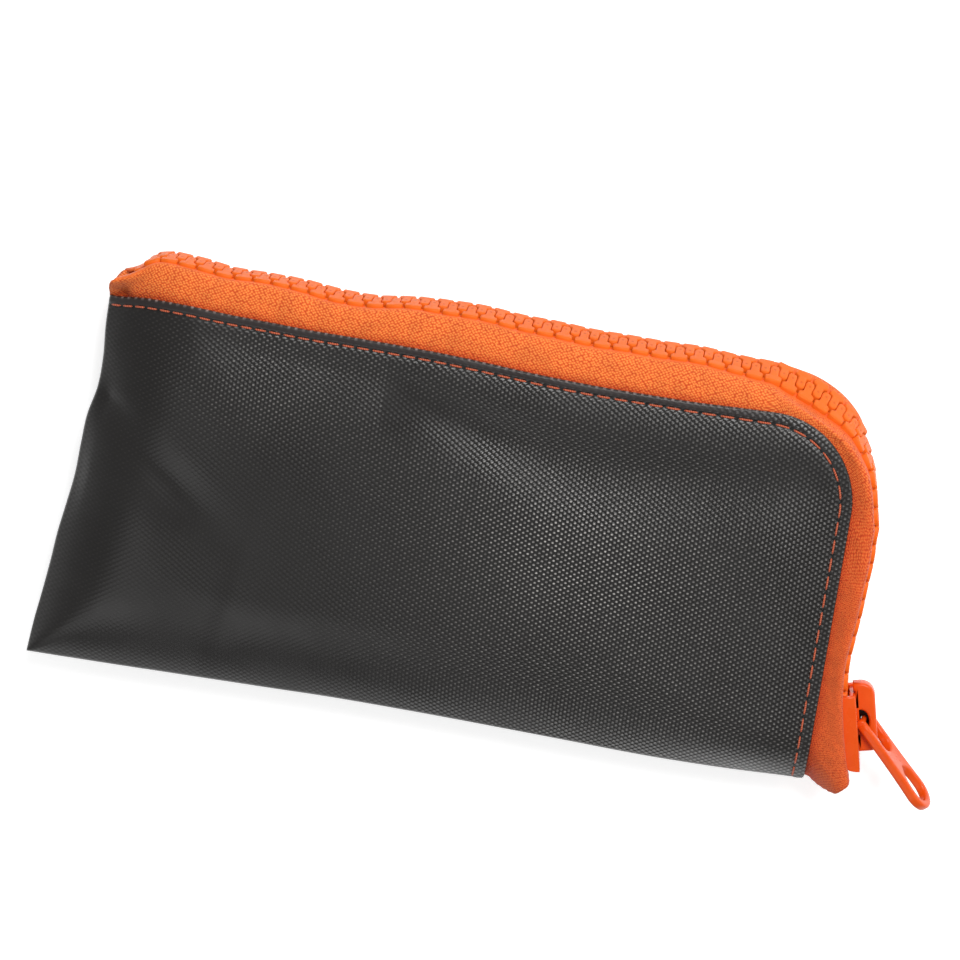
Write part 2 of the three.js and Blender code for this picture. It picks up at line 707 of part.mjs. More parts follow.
// The pull: a flat loop with a bar through the crown, an eye window and a teardrop hole
function pullOutline() {
  const shape = new THREE.Shape();
  const tipStart = pullLength - pullHalfWidth;
  shape.moveTo(0, -pullHalfWidth);
  shape.quadraticCurveTo(pullLength / 2, -pullHalfWidth + pullWaist * 2, tipStart, -pullHalfWidth);
  shape.absarc(tipStart, 0, pullHalfWidth, -Math.PI / 2, Math.PI / 2);
  shape.quadraticCurveTo(pullLength / 2, pullHalfWidth - pullWaist * 2, 0, pullHalfWidth);
  const inner = pullHalfWidth - pullLegWidth;
  const pullHoleEnd = pullLength - pullRim;
  const pullEyeLength = (pullHoleEnd - pullWeb) * pullEyeShare;
  const pullHoleStart = pullEyeLength + pullWeb;
  shape.lineTo(0, inner);
  shape.lineTo(pullEyeLength - inner, inner);
  shape.absarc(pullEyeLength - inner, 0, inner, Math.PI / 2, -Math.PI / 2, true);
  shape.lineTo(0, -inner);
  const hole = new THREE.Path();
  const wide = pullHoleEnd - pullHoleHalfWidth;
  hole.moveTo(pullHoleStart, 0);
  hole.quadraticCurveTo(pullHoleStart + pullHoleHalfWidth / 2, pullHoleHalfWidth, wide, pullHoleHalfWidth);
  hole.absarc(wide, 0, pullHoleHalfWidth, Math.PI / 2, -Math.PI / 2, true);
  hole.quadraticCurveTo(pullHoleStart + pullHoleHalfWidth / 2, -pullHoleHalfWidth, pullHoleStart, 0);
  shape.holes.push(hole);
  return shape;
}

function pullTab() {
  const options = { depth: pullThickness, bevelEnabled: false, curveSegments: 8 };
  const flat = new THREE.ExtrudeGeometry(pullOutline(), options);
  flat.translate(0, 0, -pullThickness / 2);
  const pieces = [flat];
  [-1, 1].forEach((side) => {
    const knuckle = new THREE.CylinderGeometry(pullThickness / 2, pullThickness / 2, pullLegWidth, 12);
    knuckle.translate(0, side * (pullHalfWidth - pullLegWidth / 2), 0);
    pieces.push(knuckle);
  });
  pieces.push(new THREE.CylinderGeometry(pullBarRadius, pullBarRadius, 2 * pullHalfWidth - pullLegWidth, 12));
  const nub = new THREE.CylinderGeometry(pullNubRadius, pullNubRadius, pullThickness, 8);
  nub.rotateX(Math.PI / 2);
  nub.translate(pullLength, 0, 0);
  pieces.push(nub);
  return join(pieces);
}

const sliderFrame = trackAt(sliderPlace);
const pullPivot = sliderFrame.at.clone()
  .addScaledVector(sliderFrame.t, barPlace)
  .addScaledVector(sliderFrame.n, plateHigh + barHeight);
const pullAngle = THREE.MathUtils.degToRad(pullRestDegrees);
const pullTwist = THREE.MathUtils.degToRad(pullTwistDegrees);
const pullAlong = new THREE.Vector3(Math.cos(pullAngle), Math.sin(pullAngle), 0);
const pullFace = new THREE.Vector3(-Math.sin(pullAngle), Math.cos(pullAngle), 0)
  .multiplyScalar(Math.cos(pullTwist))
  .addScaledVector(new THREE.Vector3(0, 0, 1), Math.sin(pullTwist));
const pullWidth = new THREE.Vector3().crossVectors(pullFace, pullAlong);
const pullPlace = new THREE.Matrix4().makeBasis(pullAlong, pullWidth, pullFace);
pullPlace.setPosition(pullPivot);
const pullSolid = pullTab();
pullSolid.applyMatrix4(pullPlace);
addMesh('pull_tab', pullSolid, enamelOrange);

// The binding over the seam inside the left and bottom folds
function bindingGrid(height) {
  const inner = bindingInset + bindingWidth;
  const corner = [leftBottomX, panelBottom];
  const top = panelTop - foldWidth;
  const right = panelRight - foldWidth;
  const lean = leftEdgeX(top);
  return [
    [[lean + bindingInset, top], [lean + inner, top]],
    [[corner[0] + bindingInset, corner[1] + bindingInset], [corner[0] + inner, corner[1] + inner]],
    [[right, corner[1] + bindingInset], [right, corner[1] + inner]],
  ].map((row) => row.map(([x, y]) => new THREE.Vector3(x, y, midHeight + height)));
}
const bindingHalf = bindingThickness / 2;
addMesh('seam_binding', slab(bindingGrid(bindingHalf), bindingGrid(-bindingHalf)), elasticBlack);

// The elastic band on the back lining, with a loop for the lancing pen and one for the strip vial
const liningFace = liningDepth + liningThickness;
const bandFloor = liningFace + layerGap + loopBandThickness / 2;
function bandHeight(x) {
  const arch = (left, width, height) => {
    const share = (x - left) / width;
    return share > 0 && share < 1 ? height * Math.sqrt(Math.sin(share * Math.PI)) : 0;
  };
  const penLeft = loopLeftX + loopFoot;
  const vialLeft = penLeft + penLoopWidth + loopFoot;
  return arch(penLeft, penLoopWidth, penLoopHeight) + arch(vialLeft, vialLoopWidth, vialLoopHeight);
}

function elasticBand() {
  const penLeft = loopLeftX + loopFoot;
  const vialLeft = penLeft + penLoopWidth + loopFoot;
  const places = [loopLeftX];
  const archSteps = [0, 0.03, 0.1, 0.2, 0.35, 0.5, 0.65, 0.8, 0.9, 0.97, 1];
  archSteps.forEach((u) => places.push(penLeft + u * penLoopWidth));
  archSteps.forEach((u) => places.push(vialLeft + u * vialLoopWidth));
  places.push(vialLeft + vialLoopWidth + loopFoot);
  const halfBand = loopBandWidth / 2;
  const grid = places.map((x) =>
    [-1, 1].map((side) => new THREE.Vector3(x, loopCentreY + side * halfBand, bandFloor + bandHeight(x))),
  );
  return sheet(grid, loopBandThickness);
}
addMesh('elastic_loops', elasticBand(), elasticBlack);

// The flat pocket for test strips and lancets, with a bound mouth
function pocketPanel() {
  const halfLength = (pocketRightX - pocketLeftX) / 2;
  const halfWidth = (pocketTopY - pocketBottomY) / 2;
  const shape = roundedRectangle(halfLength, halfWidth, pocketRound);
  const options = { depth: pocketThickness, bevelEnabled: false, curveSegments: 4 };
  const geometry = new THREE.ExtrudeGeometry(shape, options);
  geometry.translate(pocketLeftX + halfLength, pocketBottomY + halfWidth, liningFace + layerGap);
  return geometry;
}
addMesh('strip_pocket', pocketPanel(), meshGrey);
const mouthLow = [pocketRightX + layerGap, pocketBottomY, liningFace + layerGap];
const mouthHigh = [
  mouthLow[0] + pocketBindingWidth,
  pocketTopY,
  mouthLow[2] + pocketBindingThickness,
];
addMesh('pocket_binding', block(mouthLow, mouthHigh), elasticBlack);

export default group;
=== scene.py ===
"""A soft zip case for a blood glucose meter: charcoal woven nylon, an orange moulded zip along
the top and down one side, and an enamelled slider with its pull."""
import logging
import math
from dataclasses import dataclass, field
from enum import Enum, IntEnum

import bpy
import numpy as np
from mathutils import Matrix, Vector


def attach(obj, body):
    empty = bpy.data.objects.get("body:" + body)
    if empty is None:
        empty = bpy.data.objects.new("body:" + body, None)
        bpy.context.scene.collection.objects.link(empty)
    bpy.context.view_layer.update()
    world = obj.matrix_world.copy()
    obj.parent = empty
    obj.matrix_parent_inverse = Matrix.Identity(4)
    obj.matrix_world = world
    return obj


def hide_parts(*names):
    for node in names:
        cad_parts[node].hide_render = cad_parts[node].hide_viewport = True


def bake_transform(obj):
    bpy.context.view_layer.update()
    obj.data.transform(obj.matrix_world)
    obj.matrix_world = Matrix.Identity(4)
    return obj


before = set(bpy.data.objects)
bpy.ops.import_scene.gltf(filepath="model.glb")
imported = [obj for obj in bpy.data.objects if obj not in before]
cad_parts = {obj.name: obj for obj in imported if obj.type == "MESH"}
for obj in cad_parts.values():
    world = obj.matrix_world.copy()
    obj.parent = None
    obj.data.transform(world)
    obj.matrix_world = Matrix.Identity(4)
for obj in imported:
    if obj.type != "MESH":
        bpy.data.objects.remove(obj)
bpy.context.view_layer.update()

MM = 0.001
# One unit of a cloth's UV map, in millimetres
UV_UNIT = 100.0
# Stands for no pin mark in the teeth's UV map: far from every tooth's middle
NO_MARK = 3.0
log = logging.getLogger("meter_case")
Array = np.ndarray
Socket = bpy.types.NodeSocket
# The points of a shape and the corner numbers of its faces
Solid = tuple[Array, list[list[int]]]


class Body(Enum):
    """The moving groups of the case."""

    CASE = "case"
    FLAP = "flap"
    SLIDER = "slider"
    PULL = "pull"


class Side(Enum):
    """The two halves of the pouch, with the sign of their way out from the zip's middle."""

    FRONT = 1
    BACK = -1


def linear(colour: str) -> tuple[float, float, float, float]:
    """Turns an sRGB hex value into linear light.

    Args:
        colour: six hex digits after a hash sign.

    Returns:
        Red, green, blue and an alpha of one.
    """
    values = [int(colour[i:i + 2], 16) / 255 for i in (1, 3, 5)]
    red, green, blue = (v / 12.92 if v <= 0.04045 else ((v + 0.055) / 1.055) ** 2.4 for v in values)
    return red, green, blue, 1.0


def feed(tree: bpy.types.NodeTree, node: bpy.types.Node, values: dict) -> None:
    """Sets a node's inputs.

    Args:
        tree: the node's tree.
        node: the node.
        values: input names or numbers, each with a value or the socket that feeds it.
    """
    for name, value in values.items():
        if isinstance(value, Socket):
            tree.links.new(value, node.inputs[name])
        else:
            node.inputs[name].default_value = value


def add_node(tree: bpy.types.NodeTree, kind: str, settings: dict, values: dict) -> bpy.types.Node:
    """Adds a node.

    Args:
        tree: the tree that gets the node.
        kind: the node's type name.
        settings: property names and values.
        values: inputs, as feed takes them.

    Returns:
        The new node.
    """
    node = tree.nodes.new(kind)
    for name, value in settings.items():
        setattr(node, name, value)
    feed(tree, node, values)
    return node


class Recipe:
    """A finish being made: a principled shader and the kinds of node that finishes share.

    Its methods add nodes and return what they give out, and the last one feeds the shader."""

    def __init__(self, name: str) -> None:
        """Makes the material.

        Args:
            name: the finish's name.
        """
        self.material = bpy.data.materials.new(name)
        self.material.use_nodes = True
        self.tree = self.material.node_tree
        self.shader = self.tree.nodes["Principled BSDF"]

    def add(self, kind: str, settings: dict, values: dict) -> bpy.types.Node:
        """Adds a shader node, by the name after ShaderNode."""
        return add_node(self.tree, "ShaderNode" + kind, settings, values)

    def uv(self) -> Socket:
        """The piece's own map."""
        return self.add("UVMap", {"uv_map": "cloth"}, {}).outputs[0]

    def place(self) -> Socket:
        """The place on the object, in metres."""
        return self.add("TexCoord", {}, {}).outputs["Object"]

    def mark(self, name: str) -> Socket:
        """A value written on the piece's points."""
        return self.add("Attribute", {"attribute_name": name}, {}).outputs["Fac"]

    def math(self, operation: str, *values: Socket | float) -> Socket:
        """Works with single values."""
        return self.add("Math", {"operation": operation}, dict(enumerate(values))).outputs[0]

    def vector(self, operation: str, *values: Socket | tuple) -> Socket:
        """Works with vectors, and gives a single value for a length or a dot product."""
        node = self.add("VectorMath", {"operation": operation}, dict(enumerate(values)))
        return node.outputs["Value" if operation in ("LENGTH", "DOT_PRODUCT") else "Vector"]

    def remap(self, value: Socket, low: float, high: float, to_low: float = 0.0,
              to_high: float = 1.0, soft: bool = False) -> Socket:
        """Carries one range over to another, clamped at both ends and eased if soft."""
        kind = "SMOOTHSTEP" if soft else "LINEAR"
        return self.add("MapRange", {"interpolation_type": kind}, {
            0: value, 1: low, 2: high, 3: to_low, 4: to_high}).outputs[0]

    def mix(self, share: Socket, first: Socket | str, second: Socket | str, blend: str = "MIX"
            ) -> Socket:
        """Blends two colours, each a hex value or a socket."""
        pair = [linear(colour) if isinstance(colour, str) else colour for colour in (first, second)]
        return self.add("Mix", {"data_type": "RGBA", "blend_type": blend}, {
            0: share, 6: pair[0], 7: pair[1]}).outputs[2]

    def noise(self, where: Socket, scale: float, detail: float, kind: str = "2D") -> Socket:
        """Soft noise over a map, or through the object if its kind is 3D."""
        return self.add("TexNoise", {"noise_dimensions": kind}, {
            "Vector": where, "Scale": scale, "Detail": detail}).outputs[0]

    def threads(self, along_mm: float, across_mm: float) -> list[Socket]:
        """A sine along the cloth and one across, with one turn in each length given.

        Args:
            along_mm: the length of one turn along.
            across_mm: and across.

        Returns:
            The two sines.
        """
        turn = 2 * math.pi * UV_UNIT
        scaled = self.vector("MULTIPLY", self.uv(), (turn / along_mm, turn / across_mm, 0))
        split = self.add("SeparateXYZ", {}, {0: self.vector("SINE", scaled)})
        return [split.outputs[0], split.outputs[1]]

    def finish(self, colour: Socket | str, rough: Socket | float,
               bump: tuple[Socket, float, float] | None = None, **more: float | tuple
               ) -> bpy.types.Material:
        """Feeds the shader.

        Args:
            colour: a socket or a hex value.
            rough: the roughness.
            bump: a height, its strength and its depth in metres, or None.
            more: other inputs of the shader, with underlines for spaces.

        Returns:
            The finished material.
        """
        inputs = {"Base Color": linear(colour) if isinstance(colour, str) else colour,
                  "Roughness": rough, **{name.replace("_", " "): v for name, v in more.items()}}
        if bump is not None:
            inputs["Normal"] = self.add("Bump", {}, {
                "Height": bump[0], "Strength": bump[1], "Distance": bump[2]}).outputs[0]
        feed(self.tree, self.shader, inputs)
        return self.material


# Shapes as arrays: every length in millimetres until a mesh is made
def smooth_step(value: Array, low: float, high: float) -> Array:
    """Eases from 0 at low to 1 at high with the cubic 3t squared minus 2t cubed."""
    t = np.clip((np.asarray(value, float) - low) / (high - low), 0, 1)
    return t * t * (3 - 2 * t)


def unit(vectors: Array) -> Array:
    """Scales vectors on the last axis to length one."""
    return vectors / np.maximum(np.linalg.norm(vectors, axis=-1, keepdims=True), 1e-12)


def spline_weights(knots: int, samples: Array) -> Array:
    """Weights of a natural cubic spline through evenly spaced knots.

    Args:
        knots: how many knots there are.
        samples: places from 0 to knots minus 1.

    Returns:
        A matrix that turns knot values into values at the samples: each row is the cubic
        (1-t) y0 + t y1 plus the curvature terms that make the slopes meet.
    """
    system = np.eye(knots)
    for i in range(1, knots - 1):
        system[i, i - 1:i + 2] = 1, 4, 1
    second = np.zeros((knots, knots))
    for i in range(1, knots - 1):
        second[i, i - 1:i + 2] = 6, -12, 6
    curvature = np.linalg.solve(system, second)
    low = np.clip(np.floor(samples).astype(int), 0, knots - 2)
    t = (samples - low)[:, None]
    eye = np.eye(knots)
    bend = ((1 - t) ** 3 - (1 - t)) / 6 * curvature[low] + (t ** 3 - t) / 6 * curvature[low + 1]
    return (1 - t) * eye[low] + t * eye[low + 1] + bend


def knot_line(knots: tuple[float, ...], places: Array) -> Array:
    """A smooth line through evenly spaced knots, with slopes from the knots on both sides.

    Args:
        knots: values at even steps from 0 to 1.
        places: where to read it, from 0 to 1.

    Returns:
        The eased mix of two knots plus t (1-t)^2 times the first slope, less t^2 (1-t) times
        the second.
    """
    values = np.array(knots, float)
    last = len(values) - 1
    padded = np.concatenate([values[:1], values, values[-1:]])
    i = np.clip(np.floor(places * last).astype(int), 0, last - 1)
    t = places * last - i
    before, low, high, after = (padded[i + k] for k in range(4))
    ease = t * t * (3 - 2 * t)
    slopes = (high - before) / 2 * t * (1 - t) ** 2 - (after - low) / 2 * t ** 2 * (1 - t)
    return low + (high - low) * ease + slopes


def grid_quads(rows: int, columns: int, offset: int = 0) -> Array:
    """Corner numbers of the quads of a grid of points.

    Args:
        rows: rows of points.
        columns: points in a row.
        offset: number of the first point.

    Returns:
        One row of four corner numbers per quad.
    """
    i, j = np.meshgrid(np.arange(rows - 1), np.arange(columns - 1), indexing="ij")
    a = (i * columns + j).ravel() + offset
    return np.stack([a, a + 1, a + columns + 1, a + columns], axis=1)


def grid_normals(points: Array) -> Array:
    """Normals of a grid: the cross product of the ways along its rows and its columns.

    Args:
        points: rows by columns of points.

    Returns:
        Unit normals.
    """
    down = np.gradient(points, axis=0)
    across = np.gradient(points, axis=1)
    return unit(np.cross(across, down))


def make_object(name: str, points: Array, faces: Array | list, material: bpy.types.Material,
                uv: Array | None = None, attributes: dict[str, Array] | None = None
                ) -> bpy.types.Object:
    """Makes a smoothly shaded object at the origin from points in millimetres.

    Args:
        name: the piece's name.
        points: one row per point.
        faces: corner numbers of each face.
        material: its finish.
        uv: one pair per point, or None.
        attributes: point attributes by name.

    Returns:
        The new object, linked to the scene.
    """
    mesh = bpy.data.meshes.new(name)
    flat = np.asarray(points, float).reshape(-1, 3) * MM
    mesh.from_pydata(flat.tolist(), [], [list(map(int, face)) for face in faces])
    if uv is not None:
        layer = mesh.uv_layers.new(name="cloth")
        corners = np.zeros(len(mesh.loops), np.int32)
        mesh.loops.foreach_get("vertex_index", corners)
        layer.data.foreach_set("uv", np.asarray(uv, np.float32).reshape(-1, 2)[corners].ravel())
    for key, values in (attributes or {}).items():
        attribute = mesh.attributes.new(key, "FLOAT", "POINT")
        attribute.data.foreach_set("value", np.asarray(values, np.float32).ravel())
    mesh.polygons.foreach_set("use_smooth", np.ones(len(mesh.polygons), bool))
    mesh.update()
    mesh.validate()
    mesh.materials.append(material)
    piece = bpy.data.objects.new(name, mesh)
    bpy.context.scene.collection.objects.link(piece)
    return piece


def outward(piece: bpy.types.Object) -> bpy.types.Object:
    """Turns a closed piece's faces outwards by the sign of its volume.

    Args:
        piece: the piece.

    Returns:
        The same piece.
    """
    mesh = piece.data
    mesh.calc_loop_triangles()
    corners = np.zeros(len(mesh.loop_triangles) * 3, np.int32)
    mesh.loop_triangles.foreach_get("vertices", corners)
    points = np.zeros(len(mesh.vertices) * 3)
    mesh.vertices.foreach_get("co", points)
    a, b, c = points.reshape(-1, 3)[corners.reshape(-1, 3)].transpose(1, 0, 2)
    if np.einsum("ij,ij->i", a, np.cross(b, c)).sum() < 0:
        mesh.flip_normals()
    return piece


def closed_sheet(name: str, upper: Array, lower: Array, material: bpy.types.Material,
                 uv: Array | None = None, attributes: dict[str, Array] | None = None
                 ) -> bpy.types.Object:
    """Makes a closed sheet between two grids of points.

    Args:
        name: the piece's name.
        upper: rows by columns by 3, the outer face.
        lower: the same for the inner face.
        material: its finish.
        uv: rows by columns by 2 for both faces.
        attributes: values on the upper grid, used for both faces.

    Returns:
        The new object, with its faces outwards.
    """
    rows, columns = upper.shape[:2]
    count = rows * columns
    number = np.arange(count).reshape(rows, columns)
    rim = np.concatenate([number[0, :], number[1:, -1], number[-1, -2::-1], number[-2:0:-1, 0]])
    after = np.roll(rim, -1)
    wall = np.stack([rim, rim + count, after + count, after], axis=1)
    top = grid_quads(rows, columns)
    bottom = grid_quads(rows, columns, count)[:, ::-1]
    faces = np.concatenate([top, bottom, wall])
    points = np.concatenate([upper.reshape(-1, 3), lower.reshape(-1, 3)])
    a, b, c = (points[top[:, k]] for k in range(3))
    outward = np.einsum("ij,ij->i", np.cross(b - a, c - a), upper.reshape(-1, 3)[top[:, 0]]
                        - lower.reshape(-1, 3)[top[:, 0]]).sum()
    if outward < 0:
        faces = faces[:, ::-1]
    twice = {key: np.concatenate([v.ravel(), v.ravel()]) for key, v in (attributes or {}).items()}
    both = None if uv is None else np.concatenate([uv.reshape(-1, 2), uv.reshape(-1, 2)])
    return make_object(name, points, faces, material, both, twice)


def plan_sheet(name: str, x: Array, y: Array, upper: Array, lower: Array,
               material: bpy.types.Material, attributes: dict[str, Array] | None = None
               ) -> bpy.types.Object:
    """Makes a closed sheet from two heights over a plan, with the plan as its map.

    Args:
        name: the piece's name.
        x: plan places, rows by columns.
        y: plan places.
        upper: heights of the outer face.
        lower: heights of the inner face.
        material: its finish.
        attributes: values over the plan, by name.

    Returns:
        The new object.
    """
    return closed_sheet(name, np.stack([x, y, upper], axis=-1), np.stack([x, y, lower], axis=-1),
                        material, np.stack([x, y], axis=-1) / UV_UNIT, attributes)


def plate_template(loops: list[Array], thickness: float, bevel: float, steps: int = 3
                   ) -> Solid:
    """A flat plate with holes and rounded edges, cut from closed outlines.

    Args:
        loops: closed outlines in the plate's plane, holes among them.
        thickness: the plate's full thickness.
        bevel: the radius of its rounded edges.
        steps: how finely the edges are rounded.

    Returns:
        Its points, centred on the plane z = 0, and its faces.
    """
    curve = bpy.data.curves.new("plate", "CURVE")
    curve.dimensions = "2D"
    curve.fill_mode = "BOTH"
    curve.extrude = thickness / 2 - bevel
    curve.bevel_depth = bevel
    curve.bevel_resolution = steps
    curve.offset = -bevel
    for loop in loops:
        spline = curve.splines.new("POLY")
        spline.points.add(len(loop) - 1)
        flat = np.concatenate([loop, np.zeros((len(loop), 1)), np.ones((len(loop), 1))], axis=1)
        spline.points.foreach_set("co", flat.ravel())
        spline.use_cyclic_u = True
    holder = bpy.data.objects.new("plate", curve)
    mesh = bpy.data.meshes.new_from_object(holder)
    points = np.zeros(len(mesh.vertices) * 3)
    mesh.vertices.foreach_get("co", points)
    faces = [list(p.vertices) for p in mesh.polygons]
    bpy.data.objects.remove(holder)
    bpy.data.curves.remove(curve)
    bpy.data.meshes.remove(mesh)
    return merge_points(points.reshape(-1, 3), faces)


def merge_points(points: Array, faces: list[list[int]], grain: float = 1e-3) -> Solid:
    """Joins points that lie on one another.

    Args:
        points: one row per point.
        faces: corner numbers of each face.
        grain: the size of the cells in which points count as one.

    Returns:
        The kept points and the faces without repeated corners.
    """
    keys = np.round(points / grain).astype(np.int64)
    _, first, inverse = np.unique(keys, axis=0, return_index=True, return_inverse=True)
    inverse = inverse.ravel()
    kept = []
    for face in faces:
        mapped = [int(inverse[k]) for k in face]
        ring = [v for i, v in enumerate(mapped) if v != mapped[i - 1]]
        if len(set(ring)) >= 3:
            kept.append(ring)
    return points[first], kept


def arc(centre: tuple[float, float], radius: float, start: float, end: float, count: int) -> Array:
    """Points of a circle from one angle to another, both in degrees and counted."""
    angle = np.radians(np.linspace(start, end, count))
    return np.array(centre) + radius * np.stack([np.cos(angle), np.sin(angle)], axis=1)


def parabola(a: Array, b: Array, c: Array) -> Array:
    """Twelve points from a to c, pulled towards b: (1-t)^2 a + 2t (1-t) b + t^2 c."""
    t = np.linspace(0, 1, 12)[:, None]
    return (1 - t) ** 2 * np.array(a) + 2 * t * (1 - t) * np.array(b) + t ** 2 * np.array(c)


def rounded_box(low: tuple[float, float], high: tuple[float, float], radius: float, count: int = 6
                ) -> Array:
    """The outline of a rectangle with rounded corners, from its low and high corner."""
    corners = [(high[0] - radius, low[1] + radius, -90), (high[0] - radius, high[1] - radius, 0),
               (low[0] + radius, high[1] - radius, 90), (low[0] + radius, low[1] + radius, 180)]
    return np.concatenate([arc((x, y), radius, a, a + 90, count) for x, y, a in corners])


def parts_together(parts: list[Solid]) -> Solid:
    """Puts several closed shapes into one list of points and one of faces.

    Args:
        parts: the points and faces of each.

    Returns:
        The points and faces of all.
    """
    points, faces, offset = [], [], 0
    for some, ring in parts:
        points.append(some)
        faces += [[v + offset for v in face] for face in ring]
        offset += len(some)
    return np.concatenate(points), faces


def tube_faces(rows: int, columns: int) -> list[list[int]]:
    """Faces of a tube of closed rings with a cap at each end.

    Args:
        rows: how many rings there are.
        columns: points in a ring.

    Returns:
        Corner numbers of the quads, then of the two caps.
    """
    i, j = np.meshgrid(np.arange(rows - 1), np.arange(columns), indexing="ij")
    a, b = i * columns + j, i * columns + (j + 1) % columns
    quads = np.stack([a, b, b + columns, a + columns], axis=-1).reshape(-1, 4).tolist()
    caps = [list(range(columns))[::-1], [(rows - 1) * columns + k for k in range(columns)]]
    return quads + caps


def repeated(faces: list[list[int]], copies: int, size: int) -> list[list[int]]:
    """Faces of several copies of a shape that has size points, one copy after another."""
    return [[v + k * size for v in face] for k in range(copies) for face in faces]


def rod(start: tuple[float, ...], end: tuple[float, ...], radius: float) -> Solid:
    """A round bar with softened ends, as rings of 16 points along its line.

    Args:
        start: one end.
        end: the other end.
        radius: its radius.

    Returns:
        Its points and faces.
    """
    a, b = np.array(start, float), np.array(end, float)
    way = unit(b - a)
    side = unit(np.cross(way, np.array([0.3, 0.5, 0.8])))
    other = np.cross(way, side)
    soft = radius * 0.25
    places = np.array([0, 0.3 * soft, soft])
    sizes = np.array([radius - soft, radius - 0.3 * soft, radius])
    along = np.concatenate([places, np.linalg.norm(b - a) - places[::-1]])
    size = np.concatenate([sizes, sizes[::-1]])
    angle = np.linspace(0, 2 * np.pi, 17)[:-1]
    circle = side * np.cos(angle)[:, None] + other * np.sin(angle)[:, None]
    points = a + way * along[:, None, None] + circle[None] * size[:, None, None]
    return points.reshape(-1, 3), tube_faces(*points.shape[:2])


def declare(piece: bpy.types.Object, slot: str, body: Body | None, *nodes: str
            ) -> bpy.types.Object:
    """Hides the solids that a piece stands for and attaches it to what it moves with.

    Args:
        piece: the piece.
        slot: its material's slot; not used.
        body: what it moves with, or None for a piece that bends, which is left unattached.
        nodes: the solids that it stands for, none for a piece of the scene's own.

    Returns:
        The same piece.
    """
    if nodes:
        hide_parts(*nodes)
    if body is not None:
        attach(piece, body.value)
    return piece


@dataclass(frozen=True)
class Dent:
    """A hollow or swelling of the soft front: a slanted gaussian."""

    x: float
    y: float
    half_long: float
    half_wide: float
    height: float
    degrees: float

    def at(self, x: Array, y: Array) -> Array:
        """Its height at plan places: e to minus the squared reach along and across it.

        Args:
            x: plan places.
            y: plan places.

        Returns:
            The heights.
        """
        turn = math.radians(self.degrees)
        along = (x - self.x) * math.cos(turn) + (y - self.y) * math.sin(turn)
        across = -(x - self.x) * math.sin(turn) + (y - self.y) * math.cos(turn)
        return self.height * np.exp(-(along / self.half_long) ** 2 - (across / self.half_wide) ** 2)


@dataclass(frozen=True)
class Groove:
    """The long hollow across the front: a parabola in plan, wider below it than above."""

    x: float = 36.0
    y: float = 18.6
    bow: float = 9.0
    bow_over: float = 52.0
    depth: float = 2.1
    middle: float = 27.0
    half_long: float = 40.0
    end_power: float = 3.5
    above: float = 6.2
    below: float = 6.0
    belly: float = 4.5
    belly_x: float = 34.0
    belly_over: float = 24.0

    def at(self, x: Array, y: Array) -> Array:
        """Its height at plan places: a gaussian across the parabola, faded out at both ends.

        Args:
            x: plan places.
            y: plan places.

        Returns:
            The heights.
        """
        over = y - self.y - self.bow * ((x - self.x) / self.bow_over) ** 2
        reach = np.exp(-(np.abs(x - self.middle) / self.half_long) ** self.end_power)
        below = self.below + self.belly * np.exp(-((x - self.belly_x) / self.belly_over) ** 2)
        return -self.depth * reach * np.exp(-(over / np.where(over < 0, below, self.above)) ** 2)


